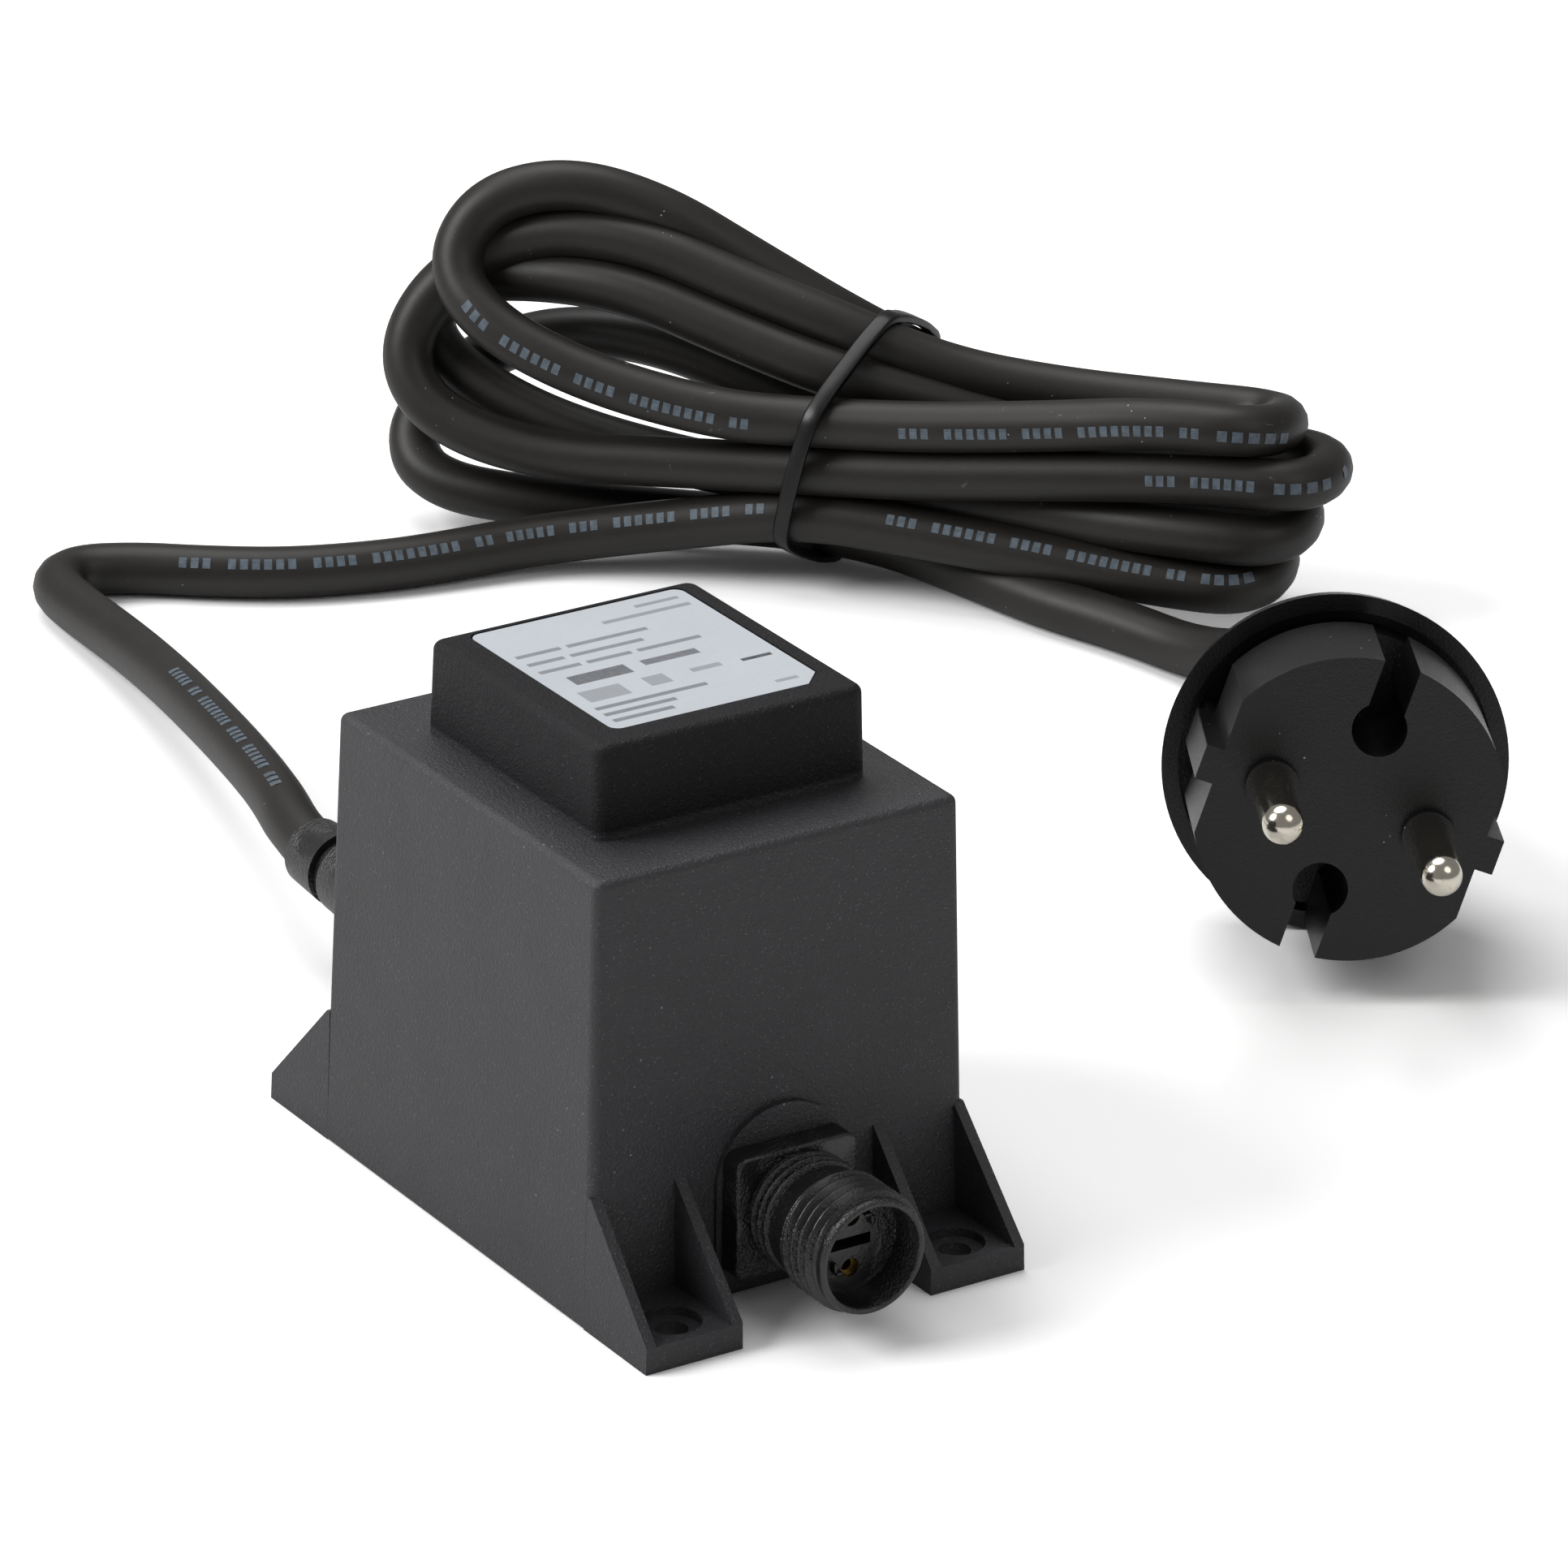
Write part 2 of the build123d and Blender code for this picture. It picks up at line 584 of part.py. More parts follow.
def stepped_lead(start, end):
    """Lead that leaves a port along Y, crosses over and arrives along Y."""
    run = (end[1] - start[1]) * LEAD_STRAIGHT
    return lead([start, (start[0], start[1] + run, start[2]), (end[0], end[1] - run, end[2]), end])


def inner_leads():
    """Leads between the ports, the fuse and the two windings."""
    mains_y = BACK_Y - LOCK_DEPTH
    outlet_y = FRONT_Y + LOCK_DEPTH + CONTACT_TAIL
    side_z = COIL_BOTTOM + LEAD_R + LEAD_SIDE_RISE
    lower_z = PORT_Z - CONTACT_OFFSET
    fuse_end = FUSE_LENGTH / 2
    link_y = -fuse_end - LINK_RUN
    add("primary_lead_live", stepped_lead(
        (0, mains_y, REAR_PORT_Z - LEAD_SPREAD), (FUSE_X, fuse_end, FUSE_Z)))
    add("primary_lead_neutral", stepped_lead(
        (0, mains_y, REAR_PORT_Z + LEAD_SPREAD), (-WINDING_X, COIL_HALF_Y, side_z)))
    add("fuse_link", lead(
        [(FUSE_X, -fuse_end, FUSE_Z), (FUSE_X, link_y, FUSE_Z), (FUSE_X, link_y, COIL_BOTTOM)], LINK_R))
    add("secondary_lead_upper", stepped_lead(
        (0, outlet_y, PORT_Z + CONTACT_OFFSET), (WINDING_X, -COIL_HALF_Y, side_z)))
    add("secondary_lead_lower", lead([
        (0, outlet_y, lower_z), (0, outlet_y + LOWER_LEAD_RUN, lower_z),
        (WINDING_X, LOWER_LEAD_Y - LOWER_LEAD_RUN, lower_z), (WINDING_X, LOWER_LEAD_Y, lower_z),
        (WINDING_X, LOWER_LEAD_Y, COIL_BOTTOM)]))


def potting_compound():
    """Resin that fills the shell round everything inside it."""
    resin = housing_cavity(POTTING_BOTTOM)
    half_x = CORE_SHORT / 2
    half_y = CORE_LONG / 2
    resin -= solid_box(-half_x, half_x, -half_y, half_y, CORE_BOTTOM, CORE_TOP)
    resin -= solid_box(-BOBBIN_HALF_X, BOBBIN_HALF_X, -COIL_FLANGE_Y, COIL_FLANGE_Y,
                       CORE_MID_Z - COIL_FLANGE_Z, CORE_MID_Z + COIL_FLANGE_Z)
    for side in (-1, 1):
        resin -= port_round(SPIGOT_R, -LOCK_DEPTH, SPIGOT_LAP, side)
        resin -= port_round(LOCK_R, -LOCK_DEPTH, LOCK_THICK - LOCK_DEPTH, side)
    resin -= made["thermal_fuse"]
    for hand in (-1, 1):
        resin -= Pos(0, 0, hand * CONTACT_OFFSET) * port_round(
            CONTACT_R, -LOCK_DEPTH - CONTACT_TAIL, -LOCK_DEPTH, -1)
    for name in [n for n in made if "_lead_" in n or n == "fuse_link"]:
        resin -= made[name]
    return resin


def plug_round(radius, start, end, u=0.0, v=0.0):
    """Cylinder along the pins between two heights in the plug's frame."""
    section = PLUG_PLANE.offset(start) * Pos(u, v) * Circle(radius)
    return extrude(section, amount=end - start)


def plug_core_face(inset):
    """Contour of the plug's front: a disc with two flats and two tabs."""
    face = Circle(PLUG_CORE_R - inset) & Rectangle(2 * (PLUG_FLAT - inset), 4 * PLUG_CORE_R)
    tab = Rectangle(2 * (PLUG_TAB_REACH - inset), 2 * PLUG_TAB_HALF)
    return face + (tab & Circle(PLUG_TAB_REACH - inset + PLUG_TAB_CROWN))


def plug_turned(outline):
    """Turned piece on the plug's axis from an outline of (radius, height)."""
    side = Plane(origin=PLUG_FACE, x_dir=PLUG_ACROSS, z_dir=-PLUG_PLANE.y_dir)
    face = make_face(side * Polyline(*outline, close=True))
    return revolve(face, axis=Axis(PLUG_FACE, PLUG_OUT))


def plug_body():
    back = -PLUG_CORE_DEPTH
    floor = back - RIM_RECESS
    heel = back - FLANGE_THICK
    step = back + PLUG_ROOT_DEPTH
    body = extrude(PLUG_PLANE.offset(step) * plug_core_face(0.0), amount=-step)
    body += extrude(PLUG_PLANE.offset(floor) * plug_core_face(PLUG_ROOT_STEP), amount=step - floor)
    rim = FLANGE_R - RIM_WIDTH
    body += plug_turned([
        (0.0, floor), (rim, floor), (rim, back), (FLANGE_R, back), (FLANGE_BACK_R, heel),
        (GRIP_SHOULDER_R, heel - GRIP_SHOULDER_RUN), (0.0, heel - GRIP_SHOULDER_RUN)])
    grip_top = heel - GRIP_SHOULDER_RUN
    grip_end = back - GRIP_LENGTH
    grip = Sketch() + [
        PLUG_PLANE.offset(grip_top + GRIP_SEAT) * Circle(GRIP_SHOULDER_R - GRIP_SEAT_STEP),
        PLUG_PLANE.offset(back - GRIP_WAIST_RUN) * Ellipse(*GRIP_WAIST),
        PLUG_PLANE.offset(grip_end) * Ellipse(*GRIP_END),
    ]
    body += loft(grip.faces())
    outline, end = ringed_taper(0.0, RELIEF_ROOT_R, RELIEF_TIP_R, RELIEF_GROOVE_R,
                                RELIEF_RING, RELIEF_GROOVE, RELIEF_RINGS)
    lead_in = RELIEF_LENGTH - end
    outline = [(r, grip_end - lead_in - d) for r, d in outline]
    seat = grip_end + RELIEF_SEAT
    body += plug_turned([(0.0, seat), (RELIEF_ROOT_R, seat)] + outline + [(0.0, -PLUG_TAIL)])
    for hand in (-1, 1):
        body -= plug_round(KEYHOLE_R, -KEYHOLE_DEPTH, 0.0, v=hand * KEYHOLE_V)
        slot = Pos(0, hand * (KEYHOLE_V + PLUG_CORE_R / 2)) * Rectangle(KEYHOLE_SLOT, PLUG_CORE_R)
        body -= extrude(PLUG_PLANE * slot, amount=-KEYHOLE_DEPTH)
    for name in [n for n in made if n.startswith("plug_")]:
        body -= made[name]
    return body


def plug_bridge():
    """Rigid bar inside the plug, with a collar at the face round each pin."""
    section = RectangleRounded(BRIDGE_WIDTH, BRIDGE_HEIGHT, BRIDGE_CORNER_R)
    bar = extrude(PLUG_PLANE.offset(PIN_LOW) * section, amount=BRIDGE_THICK)
    for hand in (-1, 1):
        bar += plug_round(COLLAR_R, PIN_LOW, COLLAR_PROUD, u=hand * PIN_HALF_PITCH)
    for hand in (-1, 1):
        bar -= plug_round(PIN_ROOT_R, PIN_LOW, COLLAR_PROUD, u=hand * PIN_HALF_PITCH)
    return bar


def plug_pin(hand):
    u = hand * PIN_HALF_PITCH
    pin = plug_round(PIN_R, COLLAR_PROUD, PIN_LENGTH, u=u)
    tip = pin.edges().filter_by(GeomType.CIRCLE).sort_by_distance(
        PLUG_PLANE.from_local_coords((u, 0, PIN_LENGTH)))[0]
    pin = fillet(tip, PIN_TIP_R)
    pin += plug_round(PIN_ROOT_R, PIN_LOW, COLLAR_PROUD, u=u)
    return pin + plug_round(PIN_TAIL_R, CRIMP_TOP, PIN_LOW, u=u)


def plug_crimp(hand):
    return plug_round(CRIMP_R, CRIMP_TOP - CRIMP_LENGTH, CRIMP_TOP, u=hand * PIN_HALF_PITCH)


def plug_core_wire(hand):
    """Insulated core from a crimp to the sheath in the grip."""
    top = CRIMP_TOP - CRIMP_LENGTH
    bottom = -PLUG_CORE_DEPTH - GRIP_LENGTH + RELIEF_SEAT
    u = hand * PIN_HALF_PITCH
    near = hand * CORE_WIRE_HALF_PITCH
    points = [(u, 0, top), (u, 0, top - CORE_WIRE_RUN),
              (near, 0, bottom + CORE_WIRE_END_RUN), (near, 0, bottom)]
    return lead([PLUG_PLANE.from_local_coords(p) for p in points], CORE_WIRE_R, CORE_WIRE_BEND_R)


def corner_radii(points):
    """Largest arcs that the runs beside each corner allow."""
    radii = []
    for before, here, after in zip(points, points[1:], points[2:]):
        run_in = Vector(*here) - Vector(*before)
        run_out = Vector(*after) - Vector(*here)
        turn = run_in.get_angle(run_out)
        radii.append(0.45 * min(run_in.length, run_out.length) / tan(radians(turn / 2)))
    return radii


def cord_tube(name, points):
    """Cord along one open stretch, with its radii and volume printed."""
    radii = corner_radii(points)
    path = FilletPolyline(*points, radius=radii)
    section = Plane(origin=path @ 0, z_dir=path % 0) * Circle(CORD_R)
    tube = sweep(section, path=path)
    expected = pi * CORD_R ** 2 * path.length
    print(name, "length", round(path.length, 1), "radii", [round(r, 1) for r in radii],
          "volume ratio", round(tube.volume / expected, 4))
    return tube


def tie_plane():
    """Slanted plane that the strap lies in."""
    s, t, z = TIE_POINT
    along = Vector(*HANK_ALONG)
    across = Vector(*HANK_ACROSS)
    origin = Vector(*HANK_CENTRE) + along * s + across * t + Vector(0, 0, z)
    normal = along * TIE_LEAN[0] + across * TIE_LEAN[1] + Vector(0, 0, TIE_LEAN[2])
    return Plane(origin=origin, z_dir=normal)


def waist_prism(grow):
    """Bar drawn round the outer strands under the strap, grown all round."""
    section = offset(make_face(Polyline(*WAIST_STRANDS, close=True)), CORD_R + grow)
    return extrude(HANK_SECTION * section, amount=WAIST_REACH, both=True)


def tie_slab(thick):
    """Broad slab along the strap's slanted plane."""
    return extrude(tie_plane() * Rectangle(TIE_SPAN, TIE_SPAN), amount=thick / 2, both=True)


def cord_hank():
    """Outer shape of the tied hank, waisted under the strap."""
    outline = make_face(Polyline(*HANK_OUTLINE, close=True))
    outline = fillet(outline.vertices(), HANK_OUTLINE_R)
    block = extrude(HANK_PLANE.offset(-HANK_BACK) * outline, amount=HANK_FRONT + HANK_BACK)
    rims = block.edges().filter_by(lambda e: abs((e @ 0.5 - e @ 0.25).dot(Vector(*HANK_ACROSS))) < 0.01)
    block = fillet(rims, HANK_EDGE_R)
    block -= tie_slab(TIE_GROOVE) - waist_prism(0.0)
    for points in (LEAD_IN[::-1], LEAD_OUT):
        end = Vector(*points[0])
        toward = (end - Vector(*points[1])).normalized()
        flat = Vector(toward.X, toward.Y, 0).normalized()
        block += extrude(Plane(origin=end, z_dir=flat) * Circle(CORD_R), amount=HANK_STUB)
    return block


def cord_tie():
    strap = waist_prism(TIE_CLEAR + TIE_THICK) - waist_prism(TIE_CLEAR)
    return strap & tie_slab(TIE_WIDTH)


def build():
    add("housing_shell", housing_shell())
    add("rating_label", rating_label())
    add("outlet_body", outlet_body())
    add("outlet_insert", outlet_insert())
    add("outlet_contact_upper", outlet_contact(1))
    add("outlet_contact_lower", outlet_contact(-1))
    add("cord_strain_relief", cord_strain_relief())
    add("core_e_stack", core_e_stack())
    add("core_i_stack", core_i_stack())
    add("winding_bobbin", winding_bobbin())
    add("primary_winding", winding(-1))
    add("secondary_winding", winding(1))
    add("primary_tape", winding_tape(-1))
    add("secondary_tape", winding_tape(1))
    add("thermal_fuse", thermal_fuse())
    inner_leads()
    add("potting_compound", potting_compound())
    add("plug_bridge", plug_bridge())
    for name, hand in (("left", -1), ("right", 1)):
        add("plug_pin_" + name, plug_pin(hand))
        add("plug_crimp_" + name, plug_crimp(hand))
        add("plug_core_wire_" + name, plug_core_wire(hand))
    add("plug_body", plug_body())
    add("mains_cord", cord_tube("mains_cord", LEAD_IN))
    add("cord_hank", cord_hank())
    add("cord_tie", cord_tie())
    add("plug_lead", cord_tube("plug_lead", LEAD_OUT))
    for name, shape in made.items():
        export_step(shape, "parts/" + name + ".step")


build()
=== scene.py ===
import json
from math import atan2, ceil, cos, floor, pi, radians, sin

import bmesh
import bpy
from mathutils import Matrix, Vector


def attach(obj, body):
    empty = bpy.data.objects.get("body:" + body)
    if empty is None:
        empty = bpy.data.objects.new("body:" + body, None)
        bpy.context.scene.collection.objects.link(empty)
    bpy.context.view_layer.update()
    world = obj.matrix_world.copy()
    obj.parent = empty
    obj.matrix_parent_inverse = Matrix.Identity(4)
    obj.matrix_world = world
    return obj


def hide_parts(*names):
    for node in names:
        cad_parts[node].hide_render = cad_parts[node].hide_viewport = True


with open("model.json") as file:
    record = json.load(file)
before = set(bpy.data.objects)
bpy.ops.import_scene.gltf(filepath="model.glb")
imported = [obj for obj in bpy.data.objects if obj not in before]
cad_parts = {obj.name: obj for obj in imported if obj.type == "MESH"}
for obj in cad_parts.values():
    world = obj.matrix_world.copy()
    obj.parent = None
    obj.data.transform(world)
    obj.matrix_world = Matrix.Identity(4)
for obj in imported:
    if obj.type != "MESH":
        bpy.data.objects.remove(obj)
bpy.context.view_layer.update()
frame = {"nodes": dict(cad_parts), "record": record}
nodes = frame["nodes"]

# Metres, +Z up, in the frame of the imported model
MM = 0.001

# Camera: where it stands and how it is turned
CAMERA_AT = (-0.4807, -0.7587, 0.4414)
CAMERA_AZIMUTH = radians(-33.314)
CAMERA_ELEVATION = radians(23.649)
CAMERA_ROLL = radians(1.019)
CAMERA_LENS = 208.42
CAMERA_SENSOR = 36.0
CAMERA_REACH = 20.0

# Floor: half its side, its colour, the colour that only the camera sees, and the light of the surround
FLOOR_HALF = 4.0
FLOOR_COLOUR = (0.82, 0.82, 0.825, 1)
FLOOR_SEEN = (1.37, 1.37, 1.37, 1)
SURROUND = 0.22

# Soft lamps: name, where it stands, what it is turned to, its width and its power in watts
LAMPS = [
    ("key", (-1.0, 0.5, 0.9), (0.05, 0.05, 0.0), 0.8, 13.2),
    ("top", (0.1, 0.6, 1.3), (0.05, 0.1, 0.0), 1.2, 10.2),
    ("front", (0.3, -1.0, 1.1), (0.05, 0.0, 0.0), 0.9, 2.4),
]

# Where the raised block stands up from the housing's top
BLOCK_FOOT_Z = 0.0521

# Mains cord
CORD_RADIUS = 0.0033
CORD_ROUNDNESS = 6
CORD_STEPS = 12
REST_Z = 0.00335

# Cord from the boot's tip to the hank
LEAD_IN = [
    (0.0000, 0.07105, 0.0126), (0.0008, 0.0772, 0.0129), (0.0035, 0.0855, 0.0128),
    (0.0066, 0.0960, 0.0118), (0.0099, 0.1080, 0.0104), (0.0131, 0.1205, 0.0089),
    (0.0162, 0.1330, 0.0073), (0.0188, 0.1450, 0.0058), (0.0207, 0.1565, 0.0046),
    (0.0219, 0.1670, 0.0037), (0.0231, 0.1766, 0.0034), (0.0282, 0.1800, REST_Z),
    (0.0354, 0.1766, REST_Z), (0.0416, 0.1716, REST_Z), (0.0500, 0.1659, REST_Z),
    (0.0590, 0.1624, REST_Z), (0.0680, 0.1602, REST_Z),
]
# Cord from the hank to the plug's tail
LEAD_OUT = [
    (0.1323, 0.0970, REST_Z), (0.1349, 0.0845, REST_Z), (0.1358, 0.0725, 0.0076),
    (0.13299, 0.06077, 0.01274), (0.12701, 0.05109, 0.01440),
]

# Hank: its middle on the floor and its long direction. Points are along, across and up.
HANK_CENTRE = Vector((0.124, 0.145, 0.0))
HANK_ALONG = Vector((0.6606, -0.7507, 0.0))
HANK_ACROSS = Vector((0.7507, 0.6606, 0.0))
HANK_IN = [(-0.037, -0.0225, 0.0039), (-0.020, -0.0190, 0.0068)]
HANK_OUT = [
    (-0.006, -0.0080, 0.0045), (0.006, -0.0085, 0.0039),
    (0.018, -0.0140, REST_Z), (0.030, -0.0210, REST_Z),
]

# Turns of the hank: where the front strand passes the strap, then along, and the shares of its way across and
# down to the right fold, the straight before that fold and the fold's two sides across
STRAP_PASS = -0.003
WAY_TO_FOLD = [(0.012, 1 / 3, 0.2), (0.028, 1 / 2, 0.55)]
FOLD_STRAIGHT = 0.014
FOLD_FRONT = -0.0186
FOLD_BACK = -0.0034

# Each turn of the hank: where its front strand passes the strap (across, up), its right fold (reach, height
# in front, height behind), its back strand and its left loop
TURNS = [
    {"front": (-0.0180, 0.0102), "fold": (0.0570, 0.0070, 0.0080),
     "back": [(0.0420, -0.0020, 0.0080), (0.0290, 0.0032, 0.0125), (0.0130, 0.0032, 0.0225),
              (0.0000, -0.0018, 0.0300)],
     "loop": [(-0.0140, -0.0025, 0.0372), (-0.0260, -0.0040, 0.0440), (-0.0380, -0.0060, 0.0470),
              (-0.0480, -0.0090, 0.0442), (-0.0514, -0.0130, 0.0366), (-0.0452, -0.0175, 0.0306),
              (-0.0310, -0.0188, 0.0254), (-0.0140, -0.0184, 0.0224)]},
    {"front": (-0.0170, 0.0222), "fold": (0.0574, 0.0284, 0.0252),
     "back": [(0.0420, -0.0036, 0.0250), (0.0270, -0.0042, 0.0252), (0.0130, -0.0060, 0.0270),
              (0.0000, -0.0080, 0.0319)],
     "loop": [(-0.0140, -0.0078, 0.0360), (-0.0280, -0.0070, 0.0404), (-0.0420, -0.0070, 0.0402),
              (-0.0536, -0.0102, 0.0332), (-0.0576, -0.0145, 0.0240), (-0.0520, -0.0175, 0.0170),
              (-0.0380, -0.0180, 0.0137), (-0.0180, -0.0176, 0.0150)]},
    {"front": (-0.0175, 0.0159), "fold": (0.0634, 0.0218, 0.0206),
     "back": [(0.0460, -0.0040, 0.0204), (0.0300, -0.0042, 0.0206), (0.0140, -0.0075, 0.0230),
              (0.0000, -0.0120, 0.0270)],
     "loop": [(-0.0140, -0.0110, 0.0306), (-0.0280, -0.0096, 0.0346), (-0.0410, -0.0082, 0.0346),
              (-0.0536, -0.0066, 0.0320), (-0.0566, -0.0076, 0.0256), (-0.0510, -0.0096, 0.0202),
              (-0.0370, -0.0114, 0.0152), (-0.0180, -0.0113, 0.0121)]},
    {"front": (-0.0108, 0.0115), "fold": (0.0600, 0.0139, 0.0140),
     "back": [(0.0440, -0.0040, 0.0138), (0.0280, -0.0042, 0.0132), (0.0130, -0.0044, 0.0128),
              (0.0000, -0.0038, 0.0160)],
     "loop": [(-0.0140, -0.0038, 0.0224), (-0.0280, -0.0028, 0.0258), (-0.0415, -0.0016, 0.0246),
              (-0.0524, -0.0026, 0.0192), (-0.0586, -0.0082, 0.0114), (-0.0540, -0.0140, 0.0064),
              (-0.0380, -0.0142, 0.0056), (-0.0200, -0.0105, 0.0048)]},
]

# Strap: the outer strands that it goes round (across, up), its lean along the hank and its section
STRAP_STRANDS = [
    (-0.0082, 0.0048), (-0.0044, 0.0125), (0.0012, 0.0255),
    (-0.0072, 0.0299), (-0.0172, 0.0224), (-0.0181, 0.0097),
]
STRAP_ORIGIN = 0.00141
STRAP_LEAN = (0.34, 0.19)
STRAP_BULGE = 0.4 * MM
STRAP_WIDTH = 2.3 * MM
STRAP_THICK = 1.1 * MM
STRAP_EDGE = 0.3 * MM
STRAP_GAP = 0.02 * MM
STRAP_OFF_FLOOR = 0.1 * MM
STRAP_POINTS = 96
STRAP_SMOOTHING = 14
STRAP_BEND_STEPS = 6

# Outlet, in millimetres ahead of the housing's end wall (y) and round its axis
END_WALL_Y = 28.05
OUTLET_Z = 10.5
PLATE_Z = 10.1
PLATE_HALF = (7.6, 7.3)
PLATE_CORNER = 1.5
PLATE_EDGE = 0.4
PLATE_SPAN = (0.25, 3.2)
THREAD_SPAN = (10.0, 17.0)
THREAD_CREST = 7.15
THREAD_ROOT = 6.45
THREAD_PITCH = 1.4
THREAD_FIRST = 10.7
THREAD_FLAT = 0.12
THREAD_FLANK = 0.7
THREAD_RUN_IN = 0.5
THREAD_RUN_OUT = 0.4
THREAD_ROW = 0.1
SLEEVE_STEPS = 120

# Neck, its ribs and the lip of the mouth, as radius and place ahead. Each rib is given by its start and by
# the radius at its end.
NECK_ROOT = [(6.3, -4.3), (6.3, 3.0), (6.1, 3.2)]
NECK_RIBS = [(4.0, 6.1), (5.25, 6.1), (6.5, 6.2)]
RIB_OUTLINE = [(6.1, 0.0), (6.5, 0.12), (6.68, 0.3), (6.68, 0.5), (6.5, 0.68)]
RIB_LENGTH = 0.8
NECK_END = [(6.2, 7.6), (6.35, 7.75), (6.35, 9.8)]
LIP_OUTLINE = [
    (6.6, 17.15), (6.6, 17.8), (6.5, 18.08), (6.3, 18.2), (5.95, 18.2),
    (5.8, 18.05), (5.8, 13.75), (5.32, 13.7), (5.32, 12.0),
]

# Guide ribs in the mouth: across, up, wide and tall, then inset and height over the insert's face
INSERT_FACE = 13.7
MOUTH_KEYS = [
    (2.3, 2.3, 0.45, 1.1), (-2.3, -2.3, 0.45, 1.1), (1.75, 3.1, 0.8, 0.4), (-1.75, -3.1, 0.8, 0.4),
]
KEY_LEVELS = [(0.0, -0.05), (0.0, 0.75), (0.1, 0.85)]
KEY_CORNER = 0.1

# Bars on the cord: from and to, counted in control points, and how high they face in degrees. Then the
# direction that they face, how many stand in each group, their length and spacing, and half their width as a
# turn round the cord
PRINT_STRETCHES = [
    (1.2, 5.2, 48), (12.2, 18.3, 40), (19.3, 22.4, 40), (33.2, 36.0, 4), (37.4, 40.6, 6), (57.2, 58.9, 12),
]
PRINT_AZIMUTH = radians(-33.314)
PRINT_GROUPS = (3, 6, 4, 8, 2, 5)
PRINT_BAR = 0.95 * MM
PRINT_GAP = 0.5 * MM
PRINT_SPACE = 1.6 * MM
PRINT_HALF_TURN = radians(12)
PRINT_FLOAT = 0.015 * MM

# Bars on the label from its middle, in millimetres: left, right, low, high and how dark
LABEL_CENTRE = (0.0008, 0.0012)
LABEL_BLUR = 0.04 * MM
LABEL_BARS = [
    (6.4, 12.0, 12.4, 13.1, 0.45), (1.0, 12.2, 10.2, 11.0, 0.45),
    (-12.2, -6.6, 6.6, 7.4, 0.55), (-5.8, 4.4, 6.6, 7.4, 0.55),
    (-12.2, -7.6, 4.2, 5.0, 0.55), (-6.8, 2.4, 4.2, 5.0, 0.55),
    (-12.2, -7.0, 1.8, 2.6, 0.55), (-6.2, -0.6, 1.8, 2.6, 0.55), (0.2, 8.2, 1.8, 2.6, 0.55),
    (-10.4, -3.2, -2.6, -0.2, 0.75), (-1.2, 5.8, -1.7, -0.3, 0.7), (8.4, 12.2, -6.1, -5.4, 0.9),
    (-11.6, -6.4, -7.4, -4.4, 0.4), (-3.6, -0.9, -6.9, -4.4, 0.4), (2.2, 6.0, -5.9, -4.9, 0.4),
    (-12.2, 1.8, -9.6, -8.8, 0.6), (-12.2, -3.2, -11.4, -10.6, 0.6), (-12.2, -4.6, -13.2, -12.4, 0.6),
    (8.4, 11.2, -12.9, -12.2, 0.4),
]


def direction(azimuth, rise):
    """Level direction turned from -Y by the azimuth, then raised."""
    return Vector((sin(azimuth) * cos(rise), -cos(azimuth) * cos(rise), sin(rise)))


def hank_point(along, across, up):
    """A point of the hank in the row frame."""
    return HANK_CENTRE + HANK_ALONG * along + HANK_ACROSS * across + Vector((0, 0, up))


def hank_turn(front, fold, back, loop):
    """Points of one turn: past the strap, round the right fold, back and round the left loop."""
    across, up = front
    reach, fold_low, fold_high = fold
    points = [(STRAP_PASS, across, up)]
    for along, share_across, share_up in WAY_TO_FOLD:
        points.append((along, across + (FOLD_FRONT - across) * share_across, up + (fold_low - up) * share_up))
    points.append((reach - FOLD_STRAIGHT, FOLD_FRONT, fold_low))
    points.append((reach, FOLD_FRONT, fold_low))
    points.append((reach, FOLD_BACK, fold_high))
    return points + back + loop


def cord_route():
    """Control points of the whole cord, from the boot to the plug."""
    inside = list(HANK_IN)
    for turn in TURNS:
        inside += hank_turn(**turn)
    inside += HANK_OUT
    route = [Vector(point) for point in LEAD_IN]
    route += [hank_point(*point) for point in inside]
    return route + [Vector(point) for point in LEAD_OUT]


def smooth_line(name, points, radius):
    """One open smooth curve led by control points, round in section."""
    curve = bpy.data.curves.new(name, "CURVE")
    curve.dimensions = "3D"
    curve.bevel_depth = radius
    curve.bevel_resolution = CORD_ROUNDNESS
    curve.resolution_u = CORD_STEPS
    curve.use_fill_caps = True
    spline = curve.splines.new("NURBS")
    spline.points.add(len(points) - 1)
    for slot, point in zip(spline.points, points):
        slot.co = (*point, 1.0)
    spline.order_u = 3
    spline.use_endpoint_u = True
    line = bpy.data.objects.new(name, curve)
    bpy.context.scene.collection.objects.link(line)
    return line


def mesh_piece(name, points, faces, sharp=40):
    """A mesh object from points in metres, smooth except at its sharp edges."""
    mesh = bpy.data.meshes.new(name)
    mesh.from_pydata(points, [], faces)
    shape = bmesh.new()
    shape.from_mesh(mesh)
    bmesh.ops.recalc_face_normals(shape, faces=shape.faces)
    shape.to_mesh(mesh)
    shape.free()
    mesh.shade_smooth()
    mesh.set_sharp_from_angle(angle=radians(sharp))
    piece = bpy.data.objects.new(name, mesh)
    bpy.context.scene.collection.objects.link(piece)
    return piece


def skin(rings, closed=False):
    """Faces between rings of equally many points, each ring closed on itself."""
    size = len(rings[0])
    pairs = list(zip(range(len(rings)), range(1, len(rings))))
    if closed:
        pairs.append((len(rings) - 1, 0))
    faces = []
    for low, high in pairs:
        for k in range(size):
            turn = (k + 1) % size
            faces.append((low * size + k, low * size + turn, high * size + turn, high * size + k))
    return [point for ring in rings for point in ring], faces


